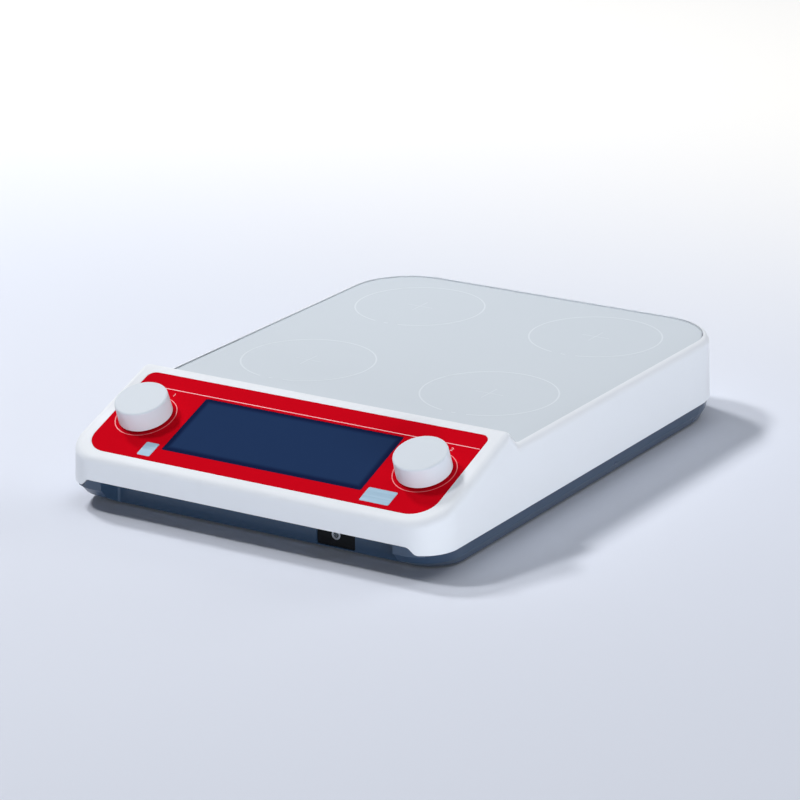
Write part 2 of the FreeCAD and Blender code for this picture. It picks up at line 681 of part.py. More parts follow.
def base_corners(side_inset, front_y, rear_y, front_r, rear_r):
    """Outline of the tray, inset from the casing's width at the sides."""
    return rectangle(CASE_WIDTH / 2 - side_inset, front_y, rear_y, front_r, rear_r)


def flare_section(share, z):
    """Outline of the flared walls where they have run in by a share of their whole run."""
    inset = BASE_STEP + share * BASE_SIDE_TAPER
    front_y = FRONT_Y + BASE_STEP + share * APRON_RUN
    return base_corners(inset, front_y, REAR_Y - inset, BASE_CORNER_R, REAR_CORNER_R - inset), z


def base_form():
    """Outside of the tray: bellied walls up to the seam, the lip in the arch, and the tongue."""
    belly = (SEAM_Z - BASE_BELLY_Z) / (SEAM_Z - BASE_BOTTOM_Z) - BASE_BELLY
    flare = lofted(
        flare_section(1, BASE_BOTTOM_Z),
        flare_section(belly, BASE_BELLY_Z),
        flare_section(0, SEAM_Z))
    tongue_corners = base_corners(TONGUE_INSET, TONGUE_Y, REAR_Y - TONGUE_INSET,
                                  FRONT_CORNER_R - TONGUE_INSET, REAR_CORNER_R - TONGUE_INSET)
    tongue = slab(tongue_corners, SEAM_Z, TONGUE_TOP_Z)
    outline, _ = flare_section(0, SEAM_Z)
    lip = arch_form(BASE_SEAM).common(slab(outline, SEAM_Z - PAST, TONGUE_TOP_Z))
    return flare.fuse([tongue, lip])


def base_cavity():
    """Inside of the tray, from its floor to above the tongue."""
    low_inset = BASE_STEP + BASE_SIDE_TAPER + BASE_WALL
    top_inset = TONGUE_INSET + BASE_WALL
    low_front = APRON_BOTTOM_Y - BASE_FLOOR * APRON_LEAN + BASE_WALL
    front_r = FRONT_CORNER_R - top_inset
    rear_r = REAR_CORNER_R - low_inset
    low = base_corners(low_inset, low_front, REAR_Y - low_inset, front_r, rear_r)
    high = base_corners(top_inset, TONGUE_Y + BASE_WALL, REAR_Y - top_inset, front_r, rear_r)
    return lofted((low, FLOOR_Z), (high, SEAM_Z), (high, TONGUE_TOP_Z + PAST))


def recess_form(wall=0.0):
    """Hand recess under the front edge, or with a wall the block that forms its back, ends and ceiling."""
    half = CASE_WIDTH / 2 - RECESS_FROM_SIDE + wall
    corners = [(-half, FRONT_Y - PAST, 0), (half, FRONT_Y - PAST, 0),
               (half, RECESS_Y + wall, RECESS_R + wall), (-half, RECESS_Y + wall, RECESS_R + wall)]
    return slab(corners, BASE_BOTTOM_Z - PAST, TONGUE_TOP_Z if wall else RECESS_TOP_Z)


def base_screw_seat():
    """Height of the seat of the base screws' heads."""
    return BASE_BOTTOM_Z + COUNTERBORE


def base_ribs():
    """Stiffening ribs that stand on the floor between the posts."""
    top = FLOOR_Z + RIB_HEIGHT
    half = RIB_WIDTH / 2
    lengthwise = [box(x - half, x + half, CHASSIS_FRONT_Y, CHASSIS_REAR_Y, FLOOR_Z - PAST, top)
                  for x in (-POST_X, POST_X)]
    crosswise = [box(-POST_X, POST_X, y - half, y + half, FLOOR_Z - PAST, top) for y in POST_YS]
    return lengthwise + crosswise


def vents():
    """Slots through the floor in front of the front stations and behind the motor."""
    cuts = []
    first = -(VENT_COUNT - 1) * VENT_PITCH / 2
    for y in (CHASSIS_FRONT_Y - VENT_FROM_CHASSIS - VENT_LENGTH, MIDDLE_Y + VENT_FROM_MIDDLE):
        for i in range(VENT_COUNT):
            x = first + i * VENT_PITCH
            outline = rectangle(VENT_WIDTH / 2, y, y + VENT_LENGTH, VENT_WIDTH / 2)
            slot = slab(outline, BASE_BOTTOM_Z - PAST, FLOOR_Z + PAST)
            cuts.append(slot.translated(Vector(x, 0, 0)))
    return cuts


def base_tray():
    """Slate-coloured tray with posts for the chassis, the power board and the casing's bosses."""
    form = base_form()
    shell = united([form.cut(base_cavity()), form.common(recess_form(RECESS_WALL))])
    posts = [disc(POST_R, FLOOR_Z - PAST, CHASSIS_Z, x, y) for x, y in POSTS]
    power_posts = [disc(POWER_POST_R, FLOOR_Z - PAST, POWER_Z, x, y) for x, y in power_post_places()]
    collars = [disc(BOSS_R, FLOOR_Z - PAST, BOSS_SEAT_Z, x, y) for x, y in BOSSES]
    tray = united([shell] + posts + power_posts + collars + base_ribs())
    chassis_pilots = [disc(SCREW_R, CHASSIS_TOP_Z - CHASSIS_SCREW_LENGTH - PAST, CHASSIS_Z + PAST, x, y)
                      for x, y in POSTS]
    power_pilots = [disc(SCREW_R, FLOOR_Z, POWER_Z + PAST, x, y) for x, y in power_post_places()]
    shank_holes = [disc(SCREW_R + SCREW_CLEARANCE, BASE_BOTTOM_Z, BOSS_SEAT_Z + PAST, x, y)
                   for x, y in BOSSES]
    head_holes = [disc(SCREW_HEAD_R + SCREW_CLEARANCE, BASE_BOTTOM_Z - PAST, base_screw_seat(), x, y)
                  for x, y in BOSSES]
    recesses = [disc(FOOT_PAD_R + FOOT_CLEARANCE, BASE_BOTTOM_Z - PAST, BASE_BOTTOM_Z + FOOT_RECESS, x, y)
                for x, y in FEET]
    cuts = chassis_pilots + power_pilots + shank_holes + head_holes + recesses + vents()
    return single(tray.cut(cuts + [recess_form(), socket_form(SOCKET_FIT)]))


def rubber_feet():
    """Four round feet glued into shallow recesses."""
    top = BASE_BOTTOM_Z + FOOT_RECESS
    profile = [(0, 0, 0), (FOOT_PAD_R - FOOT_CHAMFER, 0, 0), (FOOT_PAD_R, FOOT_CHAMFER, 0),
               (FOOT_PAD_R, top, 0), (0, top, 0)]
    return group([turned(profile, x, y) for x, y in FEET])


def base_screws():
    """Screws from below that hold the tray to the casing."""
    return group([screw(x, y, base_screw_seat(), BASE_SCREW_LENGTH, up=True) for x, y in BOSSES])


# Chassis

def chassis_plate():
    """Folded aluminium plate on six posts that carries the bearings, the motor and the idler."""
    outline = rectangle(CHASSIS_HALF_WIDTH, CHASSIS_FRONT_Y, CHASSIS_REAR_Y, CHASSIS_CORNER_R)
    plate = slab(outline, CHASSIS_Z, CHASSIS_TOP_Z)
    flange_y = CHASSIS_REAR_Y - CHASSIS_CORNER_R
    flanges = [box(x, x + CHASSIS_THICKNESS, CHASSIS_FRONT_Y + CHASSIS_CORNER_R, flange_y,
                   CHASSIS_Z - CHASSIS_FLANGE, CHASSIS_TOP_Z)
               for x in (-CHASSIS_HALF_WIDTH, CHASSIS_HALF_WIDTH - CHASSIS_THICKNESS)]
    folded = united([plate] + flanges)
    low, high = CHASSIS_Z - PAST, CHASSIS_TOP_Z + PAST
    cuts = [disc(HOUSING_R + HOUSING_HOLE_CLEARANCE, low, high, x, y) for x, y in STATIONS.values()]
    cuts += [disc(SCREW_R, low, high, x, y) for x, y in housing_screw_places()]
    cuts += [disc(SCREW_R + SCREW_CLEARANCE, low, high, x, y) for x, y in POSTS + motor_screw_places()]
    cuts.append(disc(MOTOR_BOSS_R + HOUSING_HOLE_CLEARANCE, low, high, 0, MOTOR_Y))
    window = rectangle(WINDOW_HALF_X, MIDDLE_Y - WINDOW_HALF_Y, MIDDLE_Y + WINDOW_HALF_Y, WINDOW_R)
    cuts.append(slab(window, low, high))
    cuts += [disc(SCREW_R, low, high, x, y) for x, y in idler_screw_places()]
    return single(folded.cut(cuts))


def chassis_screws():
    """Screws that hold the chassis to its posts."""
    return group([screw(x, y, CHASSIS_TOP_Z, CHASSIS_SCREW_LENGTH) for x, y in POSTS])


# Spindle bearings

def bearing_housing(x, y):
    """Flanged housing that hangs in the chassis, with a seat for a bearing at each end."""
    profile = [(HOUSING_LAND_R, HOUSING_BOTTOM_Z + BEARING_WIDTH, 0),
               (BEARING_R, HOUSING_BOTTOM_Z + BEARING_WIDTH, 0), (BEARING_R, HOUSING_BOTTOM_Z, 0),
               (HOUSING_R, HOUSING_BOTTOM_Z, 0), (HOUSING_R, CHASSIS_TOP_Z, 0),
               (HOUSING_FLANGE_R, CHASSIS_TOP_Z, 0), (HOUSING_FLANGE_R, HOUSING_TOP_Z, 0),
               (BEARING_R, HOUSING_TOP_Z, 0), (BEARING_R, HOUSING_TOP_Z - BEARING_WIDTH, 0),
               (HOUSING_LAND_R, HOUSING_TOP_Z - BEARING_WIDTH, 0)]
    holes = [disc(SCREW_R + SCREW_CLEARANCE, CHASSIS_TOP_Z - PAST, HOUSING_TOP_Z + PAST, a, b)
             for a, b in housing_screw_ring(x, y)]
    return single(turned(profile, x, y).cut(holes))


def housing_screw_ring(x, y):
    """Places of the screws round one bearing housing."""
    return ring_of(HOUSING_SCREW_COUNT, HOUSING_SCREW_CIRCLE, x, y, math.pi / 2)


def housing_screw_places():
    """Places of the screws of all the bearing housings."""
    return [place for x, y in STATIONS.values() for place in housing_screw_ring(x, y)]


def bearing_screws():
    """Equal screws that hold the bearing housings and the idler arm to the chassis."""
    length = HOUSING_FLANGE + CHASSIS_THICKNESS + SCREW_TIP
    places = housing_screw_places() + idler_screw_places()
    return group([screw(x, y, HOUSING_TOP_Z, length) for x, y in places])


def bearing_pair(x, y):
    """Two ball bearings, each a closed unit, in the ends of one housing."""
    outer = BEARING_R - BEARING_FIT
    inner = SPINDLE_R + RUNNING_FIT
    rings = []
    for z in (HOUSING_BOTTOM_Z, HOUSING_TOP_Z - BEARING_WIDTH):
        top = z + BEARING_WIDTH
        rings.append(disc(outer, z, top, x, y).cut(disc(inner, z - PAST, top + PAST, x, y)))
    return group(rings)


# What turns at each station

def spindle(x, y):
    """Steel spindle with a shoulder above its upper bearing and a clip below its lower one."""
    clip_top = HOUSING_BOTTOM_Z - END_PLAY
    shoulder_bottom = HOUSING_TOP_Z + END_PLAY
    top = CARRIER_TOP_Z - MAGNET_SINK
    profile = [(0, clip_top - CLIP - SPINDLE_END, 0), (SPINDLE_R, clip_top - CLIP - SPINDLE_END, 0),
               (SPINDLE_R, clip_top - CLIP, 0), (CLIP_R, clip_top - CLIP, 0), (CLIP_R, clip_top, 0),
               (SPINDLE_R, clip_top, 0), (SPINDLE_R, shoulder_bottom, 0), (SHOULDER_R, shoulder_bottom, 0),
               (SHOULDER_R, ROTOR_Z, 0), (SPINDLE_R, ROTOR_Z, 0), (SPINDLE_R, top, 0), (0, top, 0)]
    return turned(profile, x, y)


def magnet_carrier(x, y):
    """Moulded rotor: a flanged belt pulley below, and a dish with two magnet pockets above."""
    bore = SPINDLE_R + BEARING_FIT
    flange_r = SPINDLE_PULLEY_R + PULLEY_FLANGE_HEIGHT
    groove_low = ROTOR_Z + PULLEY_FLANGE
    groove_high = CARRIER_Z - PULLEY_FLANGE
    profile = [(bore, ROTOR_Z, 0), (flange_r, ROTOR_Z, 0), (flange_r, groove_low, 0),
               (SPINDLE_PULLEY_R, groove_low, 0), (SPINDLE_PULLEY_R, groove_high, 0),
               (flange_r, groove_high, 0), (flange_r, CARRIER_Z, 0),
               (CARRIER_R, CARRIER_Z + CARRIER_DISH, CARRIER_EDGE_R),
               (CARRIER_R, CARRIER_TOP_Z, CARRIER_EDGE_R), (bore, CARRIER_TOP_Z, 0)]
    pockets = [disc(MAGNET_R + MAGNET_CLEARANCE, CARRIER_TOP_Z - MAGNET_SINK - MAGNET_HEIGHT,
                    CARRIER_TOP_Z + PAST, x + side * MAGNET_OFFSET, y) for side in (-1, 1)]
    return single(turned(profile, x, y).cut(pockets))


def magnet_pair(x, y):
    """Two disc magnets that lie in the carrier's pockets."""
    top = CARRIER_TOP_Z - MAGNET_SINK
    return group([disc(MAGNET_R, top - MAGNET_HEIGHT, top, x + side * MAGNET_OFFSET, y) for side in (-1, 1)])


# Motor

def motor_body():
    """Flat brushless motor under the chassis, with a locating boss and a bore for its shaft."""
    low = CHASSIS_Z - MOTOR_LENGTH
    bore = MOTOR_SHAFT_R + RUNNING_FIT
    floor = CHASSIS_Z - MOTOR_SHAFT_DEPTH
    boss_top = CHASSIS_Z + MOTOR_BOSS
    profile = [(0, low, 0), (MOTOR_R, low, MOTOR_EDGE_R), (MOTOR_R, CHASSIS_Z, 0),
               (MOTOR_BOSS_R, CHASSIS_Z, 0), (MOTOR_BOSS_R, boss_top, 0), (bore, boss_top, 0),
               (bore, floor, 0), (0, floor, 0)]
    pilot_low = CHASSIS_Z - MOTOR_SCREW_BITE - SCREW_TIP
    pilots = [disc(SCREW_R, pilot_low, CHASSIS_Z + PAST, x, y) for x, y in motor_screw_places()]
    return single(turned(profile, 0, MOTOR_Y).cut(pilots))


def motor_screw_places():
    """Places of the motor's screws."""
    return ring_of(MOTOR_SCREW_COUNT, MOTOR_SCREW_CIRCLE, 0, MOTOR_Y, math.pi / 4)


def motor_screws():
    """Screws through the chassis into the motor's face."""
    length = CHASSIS_THICKNESS + MOTOR_SCREW_BITE
    return group([screw(x, y, CHASSIS_TOP_Z, length) for x, y in motor_screw_places()])


def motor_shaft():
    """Motor shaft, from inside the motor to the top of its pulley."""
    low = CHASSIS_Z - MOTOR_SHAFT_DEPTH + END_PLAY
    return disc(MOTOR_SHAFT_R, low, CARRIER_Z, 0, MOTOR_Y)


def flanged_pulley(groove_r, bore):
    """Profile of a pulley between ROTOR_Z and CARRIER_Z, with a flange on each side of the belt."""
    hub_r = groove_r - PULLEY_HUB_STEP
    flange_r = groove_r + PULLEY_FLANGE_HEIGHT
    groove_low = ROTOR_Z + PULLEY_FLANGE
    groove_high = CARRIER_Z - PULLEY_FLANGE
    return [(bore, ROTOR_Z - SHOULDER, 0), (hub_r, ROTOR_Z - SHOULDER, 0), (hub_r, ROTOR_Z, 0),
            (flange_r, ROTOR_Z, 0), (flange_r, groove_low, 0), (groove_r, groove_low, 0),
            (groove_r, groove_high, 0), (flange_r, groove_high, 0), (flange_r, CARRIER_Z, 0),
            (bore, CARRIER_Z, 0)]


def motor_pulley():
    """Flanged pulley on the motor shaft."""
    return turned(flanged_pulley(MOTOR_PULLEY_R, MOTOR_SHAFT_R + BEARING_FIT), 0, MOTOR_Y)


# Idler and belt

def idler_screw_places():
    """Pivot and clamp screws of the idler arm, either side of the idler."""
    return [(side * (IDLER_ARM_LENGTH / 2), IDLER_Y) for side in (-1, 1)]


def idler_arm():
    """Adjustable arm with a clamp slot at one end, and the idler's axle pressed in its middle."""
    half = IDLER_ARM_LENGTH / 2 + IDLER_ARM_R
    top = HOUSING_TOP_Z
    arm = slab(rectangle(half, IDLER_Y - IDLER_ARM_R, IDLER_Y + IDLER_ARM_R, IDLER_ARM_R), CHASSIS_TOP_Z, top)
    axle_top = CARRIER_Z + END_PLAY
    axle = turned([(0, CHASSIS_TOP_Z, 0), (SHOULDER_R, CHASSIS_TOP_Z, 0),
                   (SHOULDER_R, ROTOR_Z - SHOULDER - END_PLAY, 0),
                   (IDLER_AXLE_R, ROTOR_Z - SHOULDER - END_PLAY, 0), (IDLER_AXLE_R, axle_top, 0),
                   (CLIP_R, axle_top, 0), (CLIP_R, axle_top + CLIP, 0), (0, axle_top + CLIP, 0)], 0, IDLER_Y)
    (pivot_x, _), (clamp_x, _) = idler_screw_places()
    hole_r = SCREW_R + SCREW_CLEARANCE
    pivot = disc(hole_r, CHASSIS_TOP_Z - PAST, top + PAST, pivot_x, IDLER_Y)
    slot = slab(rectangle(hole_r, IDLER_Y - IDLER_SLOT / 2, IDLER_Y + IDLER_SLOT / 2, hole_r),
                CHASSIS_TOP_Z - PAST, top + PAST).translated(Vector(clamp_x, 0, 0))
    return single(united([arm, axle]).cut([pivot, slot]))


def idler_pulley():
    """Flanged idler that turns on its axle and presses the belt in."""
    return turned(flanged_pulley(IDLER_R, IDLER_AXLE_R + RUNNING_FIT), 0, IDLER_Y)


def belt_wheels():
    """The wheels in the order that the belt meets them, as (x, y, radius, side).

    Side is 1 where the belt goes round a wheel anticlockwise with the wheel inside the loop, and -1 at
    the idler, which presses on the belt's back.
    """
    stations = STATIONS
    return [(*stations["front_right"], SPINDLE_PULLEY_R, 1), (*stations["rear_right"], SPINDLE_PULLEY_R, 1),
            (0.0, IDLER_Y, IDLER_R, -1), (*stations["rear_left"], SPINDLE_PULLEY_R, 1),
            (*stations["front_left"], SPINDLE_PULLEY_R, 1), (0.0, MOTOR_Y, MOTOR_PULLEY_R, 1)]


def belt_face(ride):
    """Flat face inside a closed belt line that runs at the given distance off the inner wheels.

    Between two wheels the line is their common tangent. Its normal makes an angle with the line of
    centres whose cosine is the difference of the signed radii over the distance between centres.
    """
    wheels = belt_wheels()
    across = 2 * BELT_RIDE - ride
    radii = [side * (radius + (ride if side > 0 else across)) for _, _, radius, side in wheels]
    runs = []
    for i, (x, y, _, _) in enumerate(wheels):
        j = (i + 1) % len(wheels)
        dx, dy = wheels[j][0] - x, wheels[j][1] - y
        heading = math.atan2(dy, dx) - math.acos((radii[i] - radii[j]) / math.hypot(dx, dy))
        normal = Vector(math.cos(heading), math.sin(heading), 0)
        start = Vector(x, y, BELT_Z) + normal * radii[i]
        end = Vector(wheels[j][0], wheels[j][1], BELT_Z) + normal * radii[j]
        runs.append((start, end, normal))
    edges = []
    for i, (start, end, normal) in enumerate(runs):
        edges.append(Part.LineSegment(start, end).toShape())
        j = (i + 1) % len(wheels)
        middle_normal = normal + runs[j][2]
        middle_normal.normalize()
        middle = Vector(wheels[j][0], wheels[j][1], BELT_Z) + middle_normal * radii[j]
        edges.append(Part.Arc(end, middle, runs[j][0]).toShape())
    return Part.Face(Part.Wire(edges))


def drive_belt():
    """Flat belt round the four spindle pulleys and the motor pulley, tightened by the idler."""
    outer = belt_face(BELT_GAP + BELT_THICKNESS).extrude(Vector(0, 0, BELT_WIDTH))
    return single(outer.cut(belt_face(BELT_GAP).extrude(Vector(0, 0, BELT_WIDTH))))


# Control panel

def overlay_corners(grow=0.0):
    """Outline of the red overlay on the panel, with small upper and large lower corners."""
    high = -OVERLAY_FROM_CREST + grow
    low = -OVERLAY_FROM_CREST - OVERLAY_HEIGHT - grow
    return rectangle(OVERLAY_WIDTH / 2 + grow, low, high, OVERLAY_BOTTOM_R + grow, OVERLAY_TOP_R + grow)


def window_corners(grow=0.0):
    """Outline of the display window."""
    high = -WINDOW_FROM_CREST + grow
    low = -WINDOW_FROM_CREST - WINDOW_HEIGHT - grow
    return rectangle(WINDOW_WIDTH / 2 + grow, low, high, max(WINDOW_CORNER_R + grow, WINDOW_CORNER_R / 2))


def panel_overlay():
    """Red film in the panel's recess, with holes for the window and the two encoder bushings."""
    film = slab(overlay_corners(), -OVERLAY_THICKNESS, 0)
    cuts = [slab(window_corners(OVERLAY_CLEARANCE), -PAST, PAST)]
    cuts += [disc(BUSHING_R + BUSHING_CLEARANCE, -PAST, PAST, side * KNOB_X, -KNOB_FROM_CREST)
             for side in (-1, 1)]
    return on_panel(single(film.cut(cuts)))


def display_window():
    """Dark window that lies in its seat, just below the overlay's face."""
    return on_panel(slab(window_corners(), -WINDOW_THICKNESS - WINDOW_SINK, -WINDOW_SINK))


def display_module():
    """Display in its metal frame, between the panel and the control board."""
    frame = slab(window_corners(DISPLAY_EDGE), BOARD_FRONT, -CASE_WALL)
    opening = slab(window_corners(-WINDOW_LEDGE), -CASE_WALL - DISPLAY_LIP, 0)
    return on_panel(single(frame.cut(opening)))


def board_boss_places():
    """Places of the control board's bosses, on the panel."""
    x = BOARD_HALF_WIDTH - BOARD_BOSS_EDGE
    high = -BOARD_FROM_CREST - BOARD_BOSS_EDGE
    low = -BOARD_FROM_CREST - BOARD_HEIGHT + BOARD_BOSS_EDGE
    return [(side * x, y) for y in (low, high) for side in (-1, 1)]


def board_part(x, y, width, depth, thickness):
    """Block of one component on the back of the control board, centred at x, y."""
    return box(x - width / 2, x + width / 2, y - depth / 2, y + depth / 2, BOARD_BACK - thickness, BOARD_BACK)


def control_board():
    """Circuit board behind the panel, with its processor, drivers and connectors on the back."""
    low = -BOARD_FROM_CREST - BOARD_HEIGHT
    board = slab(rectangle(BOARD_HALF_WIDTH, low, -BOARD_FROM_CREST, BOARD_R), BOARD_BACK, BOARD_FRONT)
    holes = [disc(SCREW_R + SCREW_CLEARANCE, BOARD_BACK - PAST, BOARD_FRONT + PAST, x, y)
             for x, y in board_boss_places()]
    middle = low + BOARD_HEIGHT / 2
    chip = board_part(0, middle, CHIP_WIDTH, CHIP_WIDTH, CHIP_THICKNESS)
    drivers = [board_part(side * x, middle - DRIVER_BELOW, DRIVER_WIDTH, DRIVER_DEPTH, DRIVER_THICKNESS)
               for x in (DRIVER_X, DRIVER_X + DRIVER_PITCH) for side in (-1, 1)]
    header_y = middle + HEADER_ABOVE
    headers = [board_part(i * HEADER_PITCH, header_y, HEADER_LENGTH, HEADER_DEPTH, HEADER_THICKNESS)
               for i in (-1, 0, 1)]
    return on_panel(single(united([board, chip] + drivers + headers).cut(holes)))


def board_screws():
    """Screws that hold the control board and the power board."""
    control = [screw(x, y, BOARD_BACK, BOARD_SCREW_LENGTH, up=True) for x, y in board_boss_places()]
    power = [screw(x, y, POWER_Z + BOARD_THICKNESS, BOARD_SCREW_LENGTH) for x, y in power_post_places()]
    return group([on_panel(solid) for solid in control] + power)


def knob_frame(shape, side):
    """Puts a shape drawn about the upright axis on the panel at one of the knobs."""
    return on_panel(shape.translated(Vector(side * KNOB_X, -KNOB_FROM_CREST, 0)))


def d_section(radius, z0, z1):
    """Round bar with one flat."""
    flat = SHAFT_FLAT + radius - SHAFT_R
    return disc(radius, z0, z1).cut(box(-radius, radius, flat, radius, z0 - PAST, z1 + PAST))


def shaft_low():
    """Lower end of the encoder shaft, measured from the panel's face."""
    return BOARD_FRONT + ENCODER_BACK + KNOB_TRAVEL + SHAFT_END_GAP


def shaft_high():
    """Upper end of the encoder shaft, in the knob's hub."""
    return KNOB_GAP + KNOB_HEIGHT - KNOB_ROOF - SHAFT_ROOF_GAP


def encoder_body(side):
    """Rotary encoder behind the panel: a case with a chamber for its rotor, and a threaded bushing."""
    half = ENCODER_WIDTH / 2
    case = box(-half, half, -half, half, BOARD_FRONT, -CASE_WALL)
    bushing = disc(BUSHING_R, -CASE_WALL - ENCODER_BACK, BUSHING_LENGTH)
    chamber_low = BOARD_FRONT + ENCODER_BACK
    chamber = disc(ENCODER_CAVITY_R, chamber_low, chamber_low + ENCODER_CAVITY_DEPTH)
    bore = disc(SHAFT_R + SHAFT_FIT, chamber_low, BUSHING_LENGTH + PAST)
    return knob_frame(single(united([case, bushing]).cut([chamber, bore])), side)


def encoder_rotor(side):
    """Contact rotor in the encoder, driven by the shaft's flat, which slides through it."""
    high = BOARD_FRONT + ENCODER_BACK + ENCODER_CAVITY_DEPTH - ENCODER_ROTOR_PLAY
    low = high - ENCODER_ROTOR
    rotor = disc(ENCODER_ROTOR_R, low, high)
    return knob_frame(rotor.cut(d_section(SHAFT_R + SHAFT_FIT, low - PAST, high + PAST)), side)


def encoder_shaft(side):
    """Encoder shaft with a flat at its lower end and another in the knob."""
    flat_high = BOARD_FRONT + ENCODER_BACK + ENCODER_CAVITY_DEPTH + FLAT_RUN_OUT
    grip_low = KNOB_GAP + KNOB_HUB_LIFT
    lower = d_section(SHAFT_R, shaft_low(), flat_high)
    middle = disc(SHAFT_R, flat_high, grip_low)
    upper = d_section(SHAFT_R, grip_low, shaft_high())
    return knob_frame(united([lower, middle, upper]), side)


def encoder_nuts():
    """Nuts that clamp the encoders' bushings to the panel, hidden under the knobs."""
    nuts = []
    for side in (-1, 1):
        points = ring_of(6, NUT_ACROSS / math.sqrt(3))
        nut = slab([(x, y, 0) for x, y in points], 0, NUT_HEIGHT).cut(disc(BUSHING_R, -1, NUT_HEIGHT + PAST))
        nuts.append(knob_frame(nut, side))
    return group(nuts)


def knob(side):
    """White knob: a slightly tapered cap with a hub for the shaft and ribs inside."""
    low = KNOB_GAP
    high = KNOB_GAP + KNOB_HEIGHT
    roof = high - KNOB_ROOF
    cap = turned([(0, low, 0), (KNOB_BASE_R, low, KNOB_FOOT_R), (KNOB_TOP_R, high, KNOB_EDGE_R),
                  (0, high, 0)])
    inner_r = KNOB_TOP_R - KNOB_WALL
    hollow = disc(inner_r, low - PAST, roof)
    hub_low = low + KNOB_HUB_LIFT
    rooted = roof + KNOB_ROOF / 2
    hub = disc(KNOB_HUB_R, hub_low, rooted)
    rib = box(KNOB_HUB_R - KNOB_RIB, inner_r + KNOB_WALL / 2, -KNOB_RIB / 2, KNOB_RIB / 2, hub_low, rooted)
    ribs = [rib.rotated(Vector(0, 0, 0), Vector(0, 0, 1), 45 + 360 * i / KNOB_RIB_COUNT)
            for i in range(KNOB_RIB_COUNT)]
    body = united([cap.cut(hollow), hub] + ribs)
    bore = d_section(SHAFT_R + BEARING_FIT, hub_low - PAST, roof)
    return knob_frame(single(body.cut(bore)), side)


# Power board, inlet and switch

def power_post_places():
    """Places of the power board's posts on the base tray."""
    x = POWER_HALF_X - POWER_POST_EDGE
    y = POWER_HALF_Y - POWER_POST_EDGE
    return [(a * x, MIDDLE_Y + b * y) for a in (-1, 1) for b in (-1, 1)]


def power_board():
    """Power supply on the base: board, transformer, two capacitors, bridge and terminal blocks."""
    top = POWER_Z + BOARD_THICKNESS
    low_y = MIDDLE_Y - POWER_HALF_Y
    board = slab(rectangle(POWER_HALF_X, low_y, MIDDLE_Y + POWER_HALF_Y, BOARD_R), POWER_Z, top)
    width, depth, height = TRANSFORMER
    rear_y = MIDDLE_Y + depth / 2
    transformer = box(-width / 2, width / 2, MIDDLE_Y - depth / 2, rear_y, POWER_Z, top + height)
    capacitors = [disc(CAPACITOR_R, POWER_Z, top + CAPACITOR_LENGTH, x, rear_y)
                  for x in (-CAPACITOR_X, CAPACITOR_X)]
    half = TERMINAL_WIDTH / 2
    front_y = low_y + TERMINAL_FROM_EDGE
    terminals = [box(x - half, x + half, front_y, front_y + TERMINAL_DEPTH, POWER_Z, top + TERMINAL_HEIGHT)
                 for x in (-TERMINAL_X, TERMINAL_X)]
    holes = [disc(SCREW_R + SCREW_CLEARANCE, POWER_Z - PAST, top + PAST, x, y)
             for x, y in power_post_places()]
    return single(united([board, transformer] + capacitors + terminals).cut(holes))


def centred(half_x, half_z, radius, x):
    """Corners of a rectangle on the rear bay, centred at x."""
    corners = rectangle(half_x, BAY_MIDDLE_Z - half_z, BAY_MIDDLE_Z + half_z, radius)
    return [(a + x, b, r) for a, b, r in corners]


def inlet_body_form(grow=0.0):
    """The inlet's body behind its flange."""
    corners = centred(INLET_WIDTH / 2 + grow, INLET_HEIGHT / 2 + grow, INLET_R + grow, INLET_X)
    return rear_prism(corners, BAY_Y - INLET_DEPTH, BAY_Y)


def inlet_mouth_y():
    """The inlet's outer face."""
    return BAY_Y + INLET_FLANGE


def power_inlet():
    """Appliance inlet in the rear bay, with the usual six-sided mouth."""
    half_x = INLET_WIDTH / 2 + INLET_FLANGE_EDGE
    half_z = INLET_HEIGHT / 2 + INLET_FLANGE_EDGE
    flange = rear_prism(centred(half_x, half_z, INLET_R, INLET_X), BAY_Y, inlet_mouth_y())
    body = united([inlet_body_form(), flange])
    a, b, cut = INLET_MOUTH_WIDTH / 2, INLET_MOUTH_HEIGHT / 2, INLET_MOUTH_CHAMFER
    mouth = [(-a, -b), (a, -b), (a, b - cut), (a - cut, b), (cut - a, b), (-a, b - cut)]
    space = rear_prism([(x + INLET_X, z + BAY_MIDDLE_Z, INLET_MOUTH_R) for x, z in mouth],
                       inlet_mouth_y() - INLET_MOUTH_DEPTH, inlet_mouth_y() + PAST)
    return single(body.cut([space] + [pin_form(x, z, PANEL_FIT / 10) for x, z in pin_places()]))


def pin_places():
    """Places of the three inlet pins, seen from behind."""
    return [(INLET_X - INLET_PIN_SPACING, BAY_MIDDLE_Z - INLET_PIN_RAISE),
            (INLET_X, BAY_MIDDLE_Z + INLET_PIN_RAISE),
            (INLET_X + INLET_PIN_SPACING, BAY_MIDDLE_Z - INLET_PIN_RAISE)]


def pin_form(x, z, grow=0.0):
    """One upright blade through the inlet's floor."""
    half_x, half_z = INLET_PIN[0] / 2 + grow, INLET_PIN[1] / 2 + grow
    return box(x - half_x, x + half_x, BAY_Y - INLET_DEPTH - INLET_PIN_TAIL,
               inlet_mouth_y() - INLET_PIN_SHORT, z - half_z, z + half_z)


def inlet_pins():
    """Three flat pins of the inlet."""
    return group([pin_form(x, z) for x, z in pin_places()])


def switch_body_form(grow=0.0):
    """The switch's body behind its flange."""
    corners = centred(SWITCH_WIDTH / 2 + grow, SWITCH_HEIGHT / 2 + grow, SWITCH_R + grow, SWITCH_X)
    return rear_prism(corners, BAY_Y - SWITCH_DEPTH, BAY_Y)


def rocker_pivot():
    """Height and depth of the rocker's pivot as (y, z)."""
    return inlet_mouth_y() - ROCKER_PIVOT_DEPTH, BAY_MIDDLE_Z


